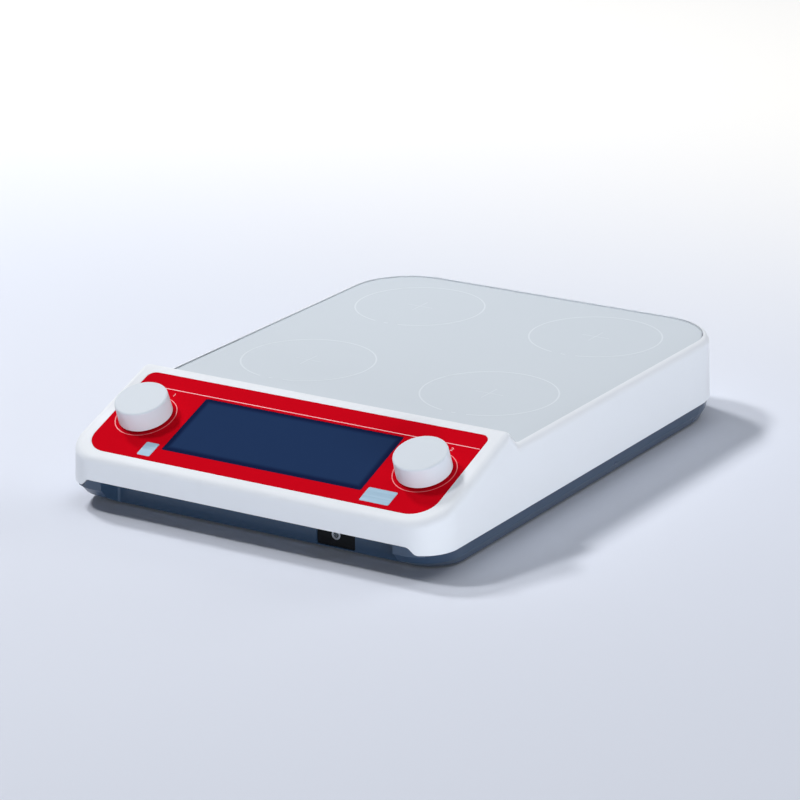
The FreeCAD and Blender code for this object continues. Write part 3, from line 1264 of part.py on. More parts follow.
def switch_frame():
    """Frame of the power switch, open at the back of its mouth for the rocker."""
    half_x = SWITCH_WIDTH / 2
    half_z = SWITCH_HEIGHT / 2
    edge = SWITCH_FLANGE_EDGE
    outline = centred(half_x + edge, half_z + edge, SWITCH_R + edge, SWITCH_X)
    flange = rear_prism(outline, BAY_Y, inlet_mouth_y())
    body = united([switch_body_form(), flange])
    mouth = rear_prism(centred(half_x - SWITCH_MOUTH_EDGE, half_z - SWITCH_MOUTH_EDGE, SWITCH_R, SWITCH_X),
                       inlet_mouth_y() - SWITCH_MOUTH_DEPTH, inlet_mouth_y() + PAST)
    pivot_y, pivot_z = rocker_pivot()
    start = Vector(SWITCH_X - SWITCH_WIDTH / 2, pivot_y, pivot_z)
    pin = Part.makeCylinder(ROCKER_PIN_R, SWITCH_WIDTH, start, Vector(1, 0, 0))
    return single(united([body.cut(mouth), pin]))


def switch_rocker():
    """Rocker on its pin, tilted to its off position, with two facets that meet in a low ridge."""
    pivot_y, pivot_z = rocker_pivot()
    half_z = SWITCH_HEIGHT / 2 - SWITCH_MOUTH_EDGE - ROCKER_CLEARANCE - ROCKER_SWING_ROOM
    ridge = inlet_mouth_y() + ROCKER_RISE - pivot_y
    ends = ridge + half_z * math.tan(math.radians(ROCKER_TILT))
    upper = [(ends, half_z), (-ROCKER_SKIRT, half_z), (-ROCKER_BACK, ROCKER_BACK_HALF)]
    rounded = upper + [(y, -z) for y, z in reversed(upper)]
    profile = [(ridge, 0, ROCKER_RIDGE_R)] + [(y, z, ROCKER_END_R) for y, z in rounded]
    half_x = SWITCH_WIDTH / 2 - SWITCH_MOUTH_EDGE - ROCKER_CLEARANCE
    body = side_prism(profile, SWITCH_X - half_x, SWITCH_X + half_x)
    start = Vector(SWITCH_X - SWITCH_WIDTH / 2, 0, 0)
    bore = Part.makeCylinder(ROCKER_PIN_R + RUNNING_FIT, SWITCH_WIDTH, start, Vector(1, 0, 0))
    tilted = body.cut(bore).rotated(Vector(0, 0, 0), Vector(1, 0, 0), -ROCKER_TILT)
    return single(tilted.translated(Vector(0, pivot_y, pivot_z)))


# Probe socket in the hand recess

def socket_form(grow=0.0):
    """The socket's block, from its sunk face inwards, or the hole that takes it."""
    corners = rectangle(SOCKET_WIDTH / 2 + grow, SOCKET_LOW_Z - grow, SOCKET_HIGH_Z + grow, SOCKET_R + grow)
    face = FRONT_Y if grow else RECESS_Y + SOCKET_SINK
    return rear_prism([(x + SOCKET_X, z, radius) for x, z, radius in corners], face, RECESS_Y + SOCKET_DEPTH)


def jack_bar(radius, y0, y1):
    """Level cylinder on the jack's axis."""
    start = Vector(SOCKET_X, y0, BASE_BOTTOM_Z + JACK_RAISE)
    return Part.makeCylinder(radius, y1 - y0, start, Vector(0, 1, 0))


def probe_socket():
    """Black socket block for an outside temperature probe, with a hole for its jack."""
    return single(socket_form().cut(jack_bar(JACK_R, RECESS_Y, RECESS_Y + JACK_DEPTH)))


def probe_jack():
    """Metal sleeve of the probe socket, closed at its inner end."""
    front = RECESS_Y + SOCKET_SINK / 2
    back = RECESS_Y + JACK_DEPTH
    sleeve = jack_bar(JACK_R - BEARING_FIT, front, back)
    return sleeve.cut(jack_bar(JACK_HOLE_R, front - PAST, back - JACK_FLOOR))


# All the pieces, each under its node's name

def pieces():
    """Every piece of the stirrer by name."""
    parts = {
        "case_top": case_top(), "glass_plate": glass_plate(), "plate_gasket": plate_gasket(),
        "heater_foils": heater_foils(), "insulation_pads": insulation_pads(),
        "temperature_sensors": temperature_sensors(), "base_tray": base_tray(), "rubber_feet": rubber_feet(),
        "base_screws": base_screws(), "chassis_plate": chassis_plate(), "chassis_screws": chassis_screws(),
        "bearing_screws": bearing_screws(), "motor_body": motor_body(), "motor_screws": motor_screws(),
        "motor_shaft": motor_shaft(), "motor_pulley": motor_pulley(), "idler_arm": idler_arm(),
        "idler_pulley": idler_pulley(), "drive_belt": drive_belt(),
        "panel_overlay": panel_overlay(), "display_window": display_window(),
        "display_module": display_module(), "control_board": control_board(), "board_screws": board_screws(),
        "encoder_nuts": encoder_nuts(), "power_board": power_board(), "power_inlet": power_inlet(),
        "inlet_pins": inlet_pins(), "switch_frame": switch_frame(), "switch_rocker": switch_rocker(),
        "probe_socket": probe_socket(), "probe_jack": probe_jack(),
    }
    for name, (x, y) in STATIONS.items():
        parts["bearing_housing_" + name] = bearing_housing(x, y)
        parts["bearings_" + name] = bearing_pair(x, y)
        parts["spindle_" + name] = spindle(x, y)
        parts["magnet_carrier_" + name] = magnet_carrier(x, y)
        parts["magnets_" + name] = magnet_pair(x, y)
    for name, side in (("left", -1), ("right", 1)):
        parts["encoder_body_" + name] = encoder_body(side)
        parts["encoder_rotor_" + name] = encoder_rotor(side)
        parts["encoder_shaft_" + name] = encoder_shaft(side)
        parts["knob_" + name] = knob(side)
    return parts


os.makedirs("parts", exist_ok=True)
for node, shape in pieces().items():
    shape.exportStep("parts/" + node + ".step")
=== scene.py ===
"""Finishes, printed marks, labels, light and camera for the four-place stirrer."""

import json
import math

import bpy
import numpy as np
from mathutils import Matrix, Vector


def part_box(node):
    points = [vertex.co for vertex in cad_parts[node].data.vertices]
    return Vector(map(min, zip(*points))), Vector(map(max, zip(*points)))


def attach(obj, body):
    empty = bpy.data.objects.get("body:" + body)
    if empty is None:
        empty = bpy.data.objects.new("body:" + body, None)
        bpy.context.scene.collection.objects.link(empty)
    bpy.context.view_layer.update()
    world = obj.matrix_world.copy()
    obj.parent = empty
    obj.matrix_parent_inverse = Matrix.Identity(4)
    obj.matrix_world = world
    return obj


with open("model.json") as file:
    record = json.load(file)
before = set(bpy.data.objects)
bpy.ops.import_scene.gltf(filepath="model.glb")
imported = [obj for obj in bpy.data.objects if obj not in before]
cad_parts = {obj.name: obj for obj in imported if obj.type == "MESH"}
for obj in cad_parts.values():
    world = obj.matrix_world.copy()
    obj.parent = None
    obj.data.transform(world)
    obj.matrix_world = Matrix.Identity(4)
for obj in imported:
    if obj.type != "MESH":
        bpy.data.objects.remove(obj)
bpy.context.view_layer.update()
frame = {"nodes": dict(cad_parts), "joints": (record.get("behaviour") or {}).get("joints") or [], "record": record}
MM = 0.001

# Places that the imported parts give
JOINTS = {joint["name"]: joint for joint in frame["joints"]}
STATIONS = {name[len("stir_"):]: Vector(joint["pos_m"])
            for name, joint in JOINTS.items() if name.startswith("stir_")}
PLATE_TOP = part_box("glass_plate")[1].z

# The panel's own axes: across, up the slope, and out of its face, from midway between the knobs
PANEL_OUT = Vector(JOINTS["knob_left_turn"]["axis"]).normalized()
PANEL_UP = Vector((0.0, PANEL_OUT.z, -PANEL_OUT.y))
KNOB_LEFT = Vector(JOINTS["knob_left_turn"]["pos_m"])
KNOB_RIGHT = Vector(JOINTS["knob_right_turn"]["pos_m"])
KNOB_X = KNOB_RIGHT.x
PANEL_MIDDLE = (KNOB_LEFT + KNOB_RIGHT) / 2

# Printed marks, in metres
RING_R = 42.1 * MM
RING_LINE = 1.0 * MM
RING_GAP = math.radians(23.0)
RING_MARK = math.radians(4.0)
PLUS_LINE = 0.5 * MM
PLUS_REACH = 9.5 * MM
INK = 0.03 * MM
PANEL_LINE = 0.55 * MM
PANEL_LINE_UP = 27.0 * MM       # above the level of the knobs
PANEL_LINE_HALF = 119.0 * MM
KNOB_RING_R = 18.9 * MM
NUMERAL_HEIGHT = 4.0 * MM
NUMERAL_UP = 22.3 * MM          # above the level of the knobs
NUMERAL_PLACES = {"1": -KNOB_X + 6.2 * MM, "2": KNOB_X + 5.6 * MM}

# Marks on the power switch
MARK_REACH = 1.3 * MM
MARK_LINE = 0.4 * MM
FACET_AREA = 20.0 * MM ** 2     # a rocker's facet is larger than this, in square metres
FACET_FACING = 0.9              # and faces the rear by at least this
FACET_TILT = -0.1               # the upper facet faces down by more than this

# Bare metal labels
LABEL_EDGES = {"left": (-82.0, -73.0), "right": (73.0, 92.5)}   # across the panel, in mm
LABEL_UP = -28.0 * MM
LABEL_HALF_HEIGHT = 6.0 * MM
LABEL_CORNER = 0.9 * MM
LABEL_HEIGHT = 0.18 * MM
LABEL_EDGE = 0.08 * MM

# Fineness of the new pieces
ARC_STEP = math.radians(2.5)
CORNER_POINTS = 48
EDGE_SHARE = 0.3                # inset and drop of the ring halfway round a softened edge
INNER_SHARE = 0.98              # inset of a plate's innermost ring, as a share of its corner radius

# Camera at the photograph's place
CAMERA_PLACE = Vector((1.11789, -1.79941, 0.74040))
CAMERA_YAW = 0.558645
CAMERA_PITCH = 0.321500
CAMERA_ROLL = 0.008509
CAMERA_LENS = 163.25
CAMERA_SENSOR = 36.0
CAMERA_REACH = 50.0

# Floor, backdrop and sky
FLOOR_REACH = 8.0
NEAR_FLOOR = (222, 227, 239)
# Far floor tone: painted light, lighter than the floor's own colour
FAR_FLOOR_PAINTED_LIGHT = (250, 249, 247)
FLOOR_PAINTED_LIGHT_FADE = (0.1, 1.0)         # painted light along Y, the floor lighter towards the back
BACKDROP = (242, 243, 246)
BACKDROP_FADE = (1.0, 2.4)      # away from the object
SKY = (0.86, 0.91, 1.0)
SKY_STRENGTH = 0.06

# Lamps: name, place, width, height, power and colour
WARM = (1.0, 0.99, 0.98)
COOL = (0.95, 0.975, 1.0)
COOLER = (0.93, 0.965, 1.0)
LAMPS = (
    ("key behind", (-2.0, 0.8, 2.3), 0.4, 0.4, 44.0, WARM),
    ("key left", (-1.8, -0.35, 2.5), 0.4, 0.4, 39.0, WARM),
    ("overhead", (0.2, 0.7, 2.6), 2.6, 2.6, 18.0, COOLER),
    ("fill", (2.35, -2.0, 0.2), 2.2, 0.3, 59.0, COOL),
    ("left", (-2.7, -1.6, 0.25), 1.6, 0.3, 4.0, COOL),
    ("rear", (1.7, 3.2, 1.5), 2.0, 2.0, 37.0, WARM),
)

# Shared values of the finishes
MASK_RANGE = (0.3, 0.7)         # span of a noise that is stretched over a whole range
LEAST_ROUGHNESS = 0.02
GRAIN_STRENGTH = 0.35
TURNING_STRENGTH = 0.3
BRUSH_STRENGTH = 0.25
BRUSH_DEPTH = 0.02 * MM
BRUSH_SPREAD = (-0.1, 0.12)     # change in roughness, lowest and highest
BRUSH_SHADE = 0.15
BORDER_START, BORDER_END = 4.5 * MM, 2.0 * MM   # of the display's dark border, from the window's edge
DISPLAY_AREA = (34, 54, 90)
DISPLAY_BORDER = (21, 32, 66)
INK_GRAIN = 1500.0
INK_DEPTH = 0.004 * MM


# Meshes

def new_piece(name, points, faces, body, slot, material):
    """Object with its place in its mesh, riding on a body and wearing one finish."""
    mesh = bpy.data.meshes.new(name)
    mesh.from_pydata([tuple(point) for point in points], [], [tuple(face) for face in faces])
    mesh.update()
    mesh.shade_flat()
    piece = bpy.data.objects.new(name, mesh)
    bpy.context.scene.collection.objects.link(piece)
    mesh.materials.append(material)
    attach(piece, body)


def joined(parts):
    """One list of points and faces from several (points, faces) pairs."""
    points, faces, offset = [], [], 0
    for part_points, part_faces in parts:
        points.append(part_points)
        faces.extend([tuple(i + offset for i in face) for face in part_faces])
        offset += len(part_points)
    return np.vstack(points), faces


def grid_faces(rows, columns, close_rows=False):
    """Quads of a grid of points: columns always close on themselves, rows only where told."""
    last = rows if close_rows else rows - 1
    i, j = np.meshgrid(np.arange(last), np.arange(columns), indexing="ij")
    a = i * columns + j
    b = i * columns + (j + 1) % columns
    c = ((i + 1) % rows) * columns + (j + 1) % columns
    d = ((i + 1) % rows) * columns + j
    return np.stack([a, b, c, d], axis=-1).reshape(-1, 4).tolist()


def ribbon(path, aside, out, width, height, closed=False):
    """Flat strip of ink: a rectangle carried along a path.

    Each point is path + aside * w + out * h, where (w, h) runs round the corners of the rectangle
    from -width / 2 to width / 2 and from 0 to height.
    """
    w = np.array([-0.5, 0.5, 0.5, -0.5]) * width
    h = np.array([0.0, 0.0, 1.0, 1.0]) * height
    points = (path[:, None, :] + aside[:, None, :] * w[None, :, None]
              + out[None, None, :] * h[None, :, None])
    faces = [face[::-1] for face in grid_faces(len(path), 4, closed)]
    if not closed:
        end = 4 * (len(path) - 1)
        faces += [(0, 1, 2, 3), (end + 3, end + 2, end + 1, end)]
    return points.reshape(-1, 3), faces


def arc_ribbon(centre, across, up, radius, start, end, width, closed=False):
    """Ribbon along an arc: centre + radius * (cos t * across + sin t * up)."""
    count = max(4, int(abs(end - start) / ARC_STEP))
    t = np.linspace(start, end, count, endpoint=not closed)
    aside = np.cos(t)[:, None] * across + np.sin(t)[:, None] * up
    return ribbon(centre + radius * aside, aside, np.cross(across, up), width, INK, closed)


def line_ribbon(start, end, aside, out, width):
    """Ribbon along a straight line."""
    path = np.array([start, end])
    return ribbon(path, np.array([aside, aside]), out, width, INK)


def rounded_plate(centre, across, up, half_a, half_b, radius, height, edge):
    """Thin plate with rounded corners and a softened upper edge.

    Its outline is a rectangle's corners moved in by the radius, with a quarter circle at each. Rings of
    that outline, shrunk towards the middle, make the wall, the rounded edge and the face.
    """
    t = np.linspace(0, 2 * math.pi, CORNER_POINTS, endpoint=False) + math.pi / (2 * CORNER_POINTS)
    corner_a = np.sign(np.cos(t)) * (half_a - radius)
    corner_b = np.sign(np.sin(t)) * (half_b - radius)
    levels = [(0.0, 0.0), (0.0, height - edge), (EDGE_SHARE * edge, height - EDGE_SHARE * edge),
              (edge, height), (radius * INNER_SHARE, height)]
    rings = []
    for inset, level in levels:
        a = corner_a + np.cos(t) * (radius - inset)
        b = corner_b + np.sin(t) * (radius - inset)
        rings.append(centre + a[:, None] * across + b[:, None] * up + level * np.cross(across, up))
    points = np.vstack(rings)
    faces = grid_faces(len(levels), len(t))
    faces.append(tuple(range(len(t)))[::-1])
    top = (len(levels) - 1) * len(t)
    faces.append(tuple(range(top, top + len(t))))
    return points, faces


def panel_point(x, up, out=0.0):
    """Point on the panel, x across and up the slope from the level of the knobs."""
    return np.array(PANEL_MIDDLE + Vector((x, 0, 0)) + PANEL_UP * up + PANEL_OUT * out)


# Node helpers, and groups for effects that several finishes share

def tone(red, green, blue):
    """Colour as it is seen, from 0 to 255, in the linear values that a shader takes."""
    def linear(part):
        part = part / 255
        return part / 12.92 if part <= 0.04045 else ((part + 0.055) / 1.055) ** 2.4
    return linear(red), linear(green), linear(blue)


def math_output(nodes, links, operation, *values):
    """Output of a math node whose inputs are other nodes' outputs or plain numbers."""
    node = nodes.new("ShaderNodeMath")
    node.operation = operation
    for socket, value in zip(node.inputs, values):
        if isinstance(value, bpy.types.NodeSocket):
            links.new(value, socket)
        else:
            socket.default_value = value
    return node.outputs["Value"]


def seen_rays(nodes, links):
    """1 for rays that show a surface or its reflection, and 0 for rays that carry light."""
    rays = nodes.new("ShaderNodeLightPath").outputs
    shown = math_output(nodes, links, "MAXIMUM", rays["Is Camera Ray"], rays["Is Glossy Ray"])
    return math_output(nodes, links, "MAXIMUM", shown, rays["Is Transmission Ray"])


def group_socket(group, name, kind, incoming, value=None):
    """Adds a named input or output to a node group."""
    socket = group.interface.new_socket(name, in_out="INPUT" if incoming else "OUTPUT", socket_type=kind)
    if value is not None:
        socket.default_value = value


def grain_group():
    """Fine moulded grain: two noises on the object's own coordinates, as a height and a mask."""
    group = bpy.data.node_groups.new("moulded grain", "ShaderNodeTree")
    group_socket(group, "Scale", "NodeSocketFloat", True, 1500.0)
    group_socket(group, "Clouding", "NodeSocketFloat", True, 18.0)
    group_socket(group, "Height", "NodeSocketFloat", False)
    group_socket(group, "Mask", "NodeSocketFloat", False)
    nodes, links = group.nodes, group.links
    entry = nodes.new("NodeGroupInput")
    leave = nodes.new("NodeGroupOutput")
    place = nodes.new("ShaderNodeTexCoord")
    fine = nodes.new("ShaderNodeTexNoise")
    wide = nodes.new("ShaderNodeTexNoise")
    fine.inputs["Detail"].default_value = 3.0
    wide.inputs["Detail"].default_value = 4.0
    links.new(place.outputs["Object"], fine.inputs["Vector"])
    links.new(place.outputs["Object"], wide.inputs["Vector"])
    links.new(entry.outputs["Scale"], fine.inputs["Scale"])
    links.new(entry.outputs["Clouding"], wide.inputs["Scale"])
    links.new(fine.outputs["Fac"], leave.inputs["Height"])
    links.new(wide.outputs["Fac"], leave.inputs["Mask"])
    return group


def turned_group():
    """Fine tool marks in rings round a given place in the object's own coordinates, as a height."""
    group = bpy.data.node_groups.new("turning marks", "ShaderNodeTree")
    group_socket(group, "Centre", "NodeSocketVector", True)
    group_socket(group, "Scale", "NodeSocketFloat", True, 900.0)
    group_socket(group, "Height", "NodeSocketFloat", False)
    nodes, links = group.nodes, group.links
    entry = nodes.new("NodeGroupInput")
    leave = nodes.new("NodeGroupOutput")
    place = nodes.new("ShaderNodeTexCoord")
    apart = nodes.new("ShaderNodeVectorMath")
    apart.operation = "DISTANCE"
    wave = nodes.new("ShaderNodeTexNoise")
    wave.noise_dimensions = "1D"
    wave.inputs["Detail"].default_value = 2.0
    links.new(place.outputs["Object"], apart.inputs[0])
    links.new(entry.outputs["Centre"], apart.inputs[1])
    links.new(apart.outputs["Value"], wave.inputs["W"])
    links.new(entry.outputs["Scale"], wave.inputs["Scale"])
    links.new(wave.outputs["Fac"], leave.inputs["Height"])
    return group


GRAIN = grain_group()
TURNED = turned_group()


class Finish:
    """A material with one Principled shader, and helpers that hang nodes on it."""

    def __init__(self, name, color, roughness, metallic=0.0, **settings):
        self.material = bpy.data.materials.new(name)
        self.material.use_nodes = True
        self.nodes = self.material.node_tree.nodes
        self.links = self.material.node_tree.links
        self.shader = self.nodes["Principled BSDF"]
        self.color = color
        self.roughness = roughness
        self.shader.inputs["Base Color"].default_value = (*color, 1.0)
        self.shader.inputs["Roughness"].default_value = roughness
        self.shader.inputs["Metallic"].default_value = metallic
        for socket, value in settings.items():
            self.shader.inputs[socket.replace("_", " ")].default_value = value

    def node(self, kind, **values):
        """New node with some of its inputs set."""
        node = self.nodes.new(kind)
        for socket, value in values.items():
            node.inputs[socket].default_value = value
        return node

    def grained(self, scale, depth, spread=0.05, shade=0.04, clouding=18.0):
        """Grain in the surface, and slow changes in roughness and shade."""
        grain = self.nodes.new("ShaderNodeGroup")
        grain.node_tree = GRAIN
        grain.inputs["Scale"].default_value = scale
        grain.inputs["Clouding"].default_value = clouding
        bump = self.node("ShaderNodeBump", Strength=GRAIN_STRENGTH, Distance=depth)
        self.links.new(grain.outputs["Height"], bump.inputs["Height"])
        self.links.new(bump.outputs["Normal"], self.shader.inputs["Normal"])
        self.roughened(grain.outputs["Mask"], self.roughness - spread, self.roughness + spread)
        self.shaded(grain.outputs["Mask"], shade)
        return self

    def turned(self, centre, scale, depth, spread=0.08):
        """Tool marks in rings round a given place."""
        marks = self.nodes.new("ShaderNodeGroup")
        marks.node_tree = TURNED
        marks.inputs["Centre"].default_value = centre
        marks.inputs["Scale"].default_value = scale
        bump = self.node("ShaderNodeBump", Strength=TURNING_STRENGTH, Distance=depth)
        self.links.new(marks.outputs["Height"], bump.inputs["Height"])
        self.links.new(bump.outputs["Normal"], self.shader.inputs["Normal"])
        self.roughened(marks.outputs["Height"], self.roughness - spread, self.roughness + spread)
        return self

    def stretched(self, output, source, target=(0.0, 1.0), smooth=False):
        """Output brought from one range into another, and held to it."""
        spread = self.node("ShaderNodeMapRange")
        if smooth:
            spread.interpolation_type = "SMOOTHSTEP"
        spread.inputs["From Min"].default_value, spread.inputs["From Max"].default_value = source
        spread.inputs["To Min"].default_value, spread.inputs["To Max"].default_value = target
        self.links.new(output, spread.inputs["Value"])
        return spread.outputs["Result"]

    def roughened(self, output, low, high):
        """Lets the roughness follow a mask."""
        target = (max(low, LEAST_ROUGHNESS), min(high, 1.0))
        self.links.new(self.stretched(output, MASK_RANGE, target), self.shader.inputs["Roughness"])

    def colored(self, output, first, second):
        """Lets the colour go from the first to the second as a mask rises."""
        mix = self.nodes.new("ShaderNodeMix")
        mix.data_type = "RGBA"
        mix.inputs["A"].default_value = (*first, 1.0)
        mix.inputs["B"].default_value = (*second, 1.0)
        self.links.new(output, mix.inputs["Factor"])
        self.links.new(mix.outputs["Result"], self.shader.inputs["Base Color"])

    def shaded(self, output, shade):
        """Lets the colour drift a little darker where a mask is high."""
        self.colored(output, self.color, tuple(part * (1 - shade) for part in self.color))

    def place(self):
        """Outputs X, Y and Z of the object's own coordinates, and those coordinates themselves."""
        place = self.nodes.new("ShaderNodeTexCoord").outputs["Object"]
        parts = self.nodes.new("ShaderNodeSeparateXYZ")
        self.links.new(place, parts.inputs["Vector"])
        return parts.outputs, place


def glass_display():
    """Dark window with the display's active area a little lighter inside a soft dark border."""
    finish = Finish("display window", tone(*DISPLAY_AREA), 0.35, Specular_IOR_Level=0.0)
    low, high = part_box("display_window")
    parts, _ = finish.place()
    edges = []
    for axis, start, stop in (("X", low.x, high.x), ("Y", low.y, high.y)):
        across = math_output(finish.nodes, finish.links, "SUBTRACT", parts[axis], (start + stop) / 2)
        across = math_output(finish.nodes, finish.links, "ABSOLUTE", across)
        half = (stop - start) / 2
        edges.append(finish.stretched(across, (half - BORDER_START, half - BORDER_END)))
    border = math_output(finish.nodes, finish.links, "MAXIMUM", *edges)
    finish.colored(border, tone(*DISPLAY_AREA), tone(*DISPLAY_BORDER))
    return finish


def brushed_foil(name, color, roughness, stretch, metallic=0.85):
    """Metal with fine straight brush lines."""
    finish = Finish(name, color, roughness, metallic)
    place = finish.nodes.new("ShaderNodeTexCoord")
    mapping = finish.node("ShaderNodeMapping", Scale=stretch)
    noise = finish.node("ShaderNodeTexNoise", Scale=1.0, Detail=3.0)
    bump = finish.node("ShaderNodeBump", Strength=BRUSH_STRENGTH, Distance=BRUSH_DEPTH)
    finish.links.new(place.outputs["Object"], mapping.inputs["Vector"])
    finish.links.new(mapping.outputs["Vector"], noise.inputs["Vector"])
    finish.links.new(noise.outputs["Fac"], bump.inputs["Height"])
    finish.links.new(bump.outputs["Normal"], finish.shader.inputs["Normal"])
    finish.roughened(noise.outputs["Fac"], *(roughness + change for change in BRUSH_SPREAD))
    finish.shaded(noise.outputs["Fac"], BRUSH_SHADE)
    return finish


def ink(name, color, roughness=0.5, spread=0.05, shade=0.04, clouding=18.0, **settings):
    """Thin printed layer with a very fine grain."""
    finish = Finish(name, color, roughness, **settings)
    return finish.grained(INK_GRAIN, INK_DEPTH, spread, shade, clouding).material


FINISHES = {
    "casing": Finish("white casing", tone(230, 234, 240), 0.55, Specular_IOR_Level=0.12).grained(
        900.0, 0.02 * MM, 0.04, 0.015),
    "knob": Finish("white knob", tone(218, 225, 233), 0.7, Specular_IOR_Level=0.02).grained(
        1100.0, 0.02 * MM, 0.04, 0.015),
    "plate": Finish("satin glass plate", tone(199, 208, 217), 0.3, Specular_IOR_Level=0.2).grained(
        1800.0, 0.006 * MM, 0.012, 0.012, 5.0),
    "base": Finish("slate base", tone(46, 67, 92), 0.32, Coat_Weight=0.3, Coat_Roughness=0.18).grained(
        1300.0, 0.08 * MM, 0.07, 0.10),
    "overlay": Finish("red overlay", tone(204, 8, 27), 0.5, Specular_IOR_Level=0.0).grained(
        2600.0, 0.012 * MM, 0.05, 0.05, 25.0),
    "window": glass_display(),
    "seal": Finish("silicone seal", tone(206, 211, 218), 0.7).grained(700.0, 0.03 * MM),
    "feet": Finish("rubber feet", tone(30, 31, 34), 0.85).grained(1200.0, 0.12 * MM, 0.08, 0.2),
    "belt": Finish("belt rubber", tone(28, 28, 31), 0.8).grained(1500.0, 0.08 * MM, 0.08, 0.2),
    "foil": brushed_foil("heater foil", tone(198, 190, 172), 0.45, (900.0, 40.0, 40.0)),
    "insulation": Finish("fibre pad", tone(226, 220, 205), 0.95).grained(420.0, 0.25 * MM, 0.03, 0.15),
    "sensor": Finish("sensor brass", tone(205, 172, 96), 0.35, metallic=1.0).grained(900.0, 0.02 * MM),
    "screw": Finish("zinc screws", tone(176, 178, 182), 0.35, metallic=1.0).grained(
        1600.0, 0.03 * MM, 0.1, 0.1),
    "chassis": brushed_foil("chassis sheet", tone(196, 199, 204), 0.4, (20.0, 700.0, 700.0)),
    "motor_case": brushed_foil("motor can", tone(160, 163, 168), 0.38, (60.0, 60.0, 1200.0)),
    "steel": brushed_foil("ground steel", tone(186, 188, 192), 0.28, (80.0, 80.0, 1500.0)),
    "pulley": Finish("turned pulley", tone(190, 193, 198), 0.35, metallic=1.0).turned(
        (0, 0, 0), 1500.0, 0.02 * MM),
    "display_frame": brushed_foil("display frame", tone(150, 152, 156), 0.4, (600.0, 30.0, 30.0)),
    "board": Finish("circuit board", tone(34, 92, 58), 0.42, Coat_Weight=0.5).grained(
        600.0, 0.04 * MM, 0.08, 0.25),
    "socket": Finish("black socket", tone(6, 8, 13), 0.48, Specular_IOR_Level=0.2).grained(
        1400.0, 0.05 * MM, 0.07, 0.2),
    "contact": Finish("plated pins", tone(214, 205, 176), 0.25, metallic=1.0).grained(
        1200.0, 0.02 * MM, 0.08),
    "rocker": Finish("black rocker", tone(24, 25, 28), 0.28, Coat_Weight=0.3).grained(
        1500.0, 0.03 * MM, 0.06, 0.2),
    "jack": Finish("jack sleeve", tone(205, 208, 212), 0.2, metallic=1.0).grained(1200.0, 0.02 * MM, 0.08),
    "bearing_housing": brushed_foil("turned housing", tone(182, 185, 190), 0.35, (40.0, 40.0, 1400.0)),
    "bearing": brushed_foil("bearing steel", tone(176, 178, 182), 0.25, (70.0, 70.0, 1500.0)),
    "carrier": Finish("moulded carrier", tone(224, 221, 210), 0.5).grained(1000.0, 0.05 * MM, 0.06, 0.06),
    "magnet": Finish("nickel magnets", tone(188, 190, 194), 0.22, metallic=1.0).grained(
        1000.0, 0.02 * MM, 0.07),
    "encoder": brushed_foil("encoder case", tone(170, 172, 176), 0.35, (500.0, 60.0, 60.0)),
}
PLATE_INK = ink("plate print", tone(214, 222, 230), 0.3, 0.012, 0.012, 5.0, Specular_IOR_Level=0.2)
PANEL_INK = ink("panel print", tone(240, 168, 174))
RING_INK = ink("knob ring print", tone(220, 98, 104))
SWITCH_INK = ink("switch print", tone(212, 213, 215))
# Label foil: barely metallic, its light bluish colour is painted reflection of the surroundings on silver foil
LABEL_FOIL_PAINTED_REFLECTION = brushed_foil("label foil with painted reflection", tone(158, 190, 212), 0.7, (30.0, 900.0, 900.0), 0.05).material


def dress_nodes():
    """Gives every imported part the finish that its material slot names."""
    slots = {entry["node"]: entry["material_slot"] for entry in frame["record"]["subparts"]}
    for name, solid in frame["nodes"].items():
        for slot in solid.material_slots:
            slot.material = FINISHES[slots[name]].material


# Printed marks and small pieces

X_AXIS = np.array([1.0, 0.0, 0.0])
Y_AXIS = np.array([0.0, 1.0, 0.0])
Z_AXIS = np.array([0.0, 0.0, 1.0])


def plate_print():
    """At each station a ring with a gap at its front, a dash in the gap and a plus sign in the middle."""
    for name, place in STATIONS.items():
        centre = np.array([place.x, place.y, PLATE_TOP])
        front = -math.pi / 2
        ring = arc_ribbon(centre, X_AXIS, Y_AXIS, RING_R, front + RING_GAP / 2,
                          front + 2 * math.pi - RING_GAP / 2, RING_LINE)
        dash = arc_ribbon(centre, X_AXIS, Y_AXIS, RING_R, front - RING_MARK / 2,
                          front + RING_MARK / 2, RING_LINE)
        long_arm = line_ribbon(centre - PLUS_REACH * Y_AXIS, centre + PLUS_REACH * Y_AXIS,
                               X_AXIS, Z_AXIS, PLUS_LINE)
        arms = [line_ribbon(centre + side * PLUS_LINE / 2 * X_AXIS, centre + side * PLUS_REACH * X_AXIS,
                            -side * Y_AXIS, Z_AXIS, PLUS_LINE) for side in (-1, 1)]
        points, faces = joined([ring, dash, long_arm] + arms)
        new_piece("station_print_" + name, points, faces, "housing", "plate", PLATE_INK)


def panel_print():
    """Thin line across the panel and a fainter ring round each knob."""
    across, up, out = X_AXIS, np.array(PANEL_UP), np.array(PANEL_OUT)
    ends = [panel_point(side * PANEL_LINE_HALF, PANEL_LINE_UP) for side in (-1, 1)]
    line = line_ribbon(*ends, -up, out, PANEL_LINE)
    rings = [arc_ribbon(panel_point(side * KNOB_X, 0), across, up, KNOB_RING_R, 0, 2 * math.pi,
                        PANEL_LINE, closed=True) for side in (-1, 1)]
    new_piece("panel_line", *line, "housing", "overlay", PANEL_INK)
    new_piece("knob_rings", *joined(rings), "housing", "overlay", RING_INK)


def foil_labels():
    """Two bare metal labels on the panel's lower edge, whose light bluish tone is painted reflection."""
    across, up = X_AXIS, np.array(PANEL_UP)
    for name, (left, right) in LABEL_EDGES.items():
        centre = panel_point((left + right) / 2 * MM, LABEL_UP)
        label = rounded_plate(centre, across, up, (right - left) / 2 * MM, LABEL_HALF_HEIGHT, LABEL_CORNER,
                              LABEL_HEIGHT, LABEL_EDGE)
        new_piece("foil_label_" + name, *label, "housing", "chassis", LABEL_FOIL_PAINTED_REFLECTION)


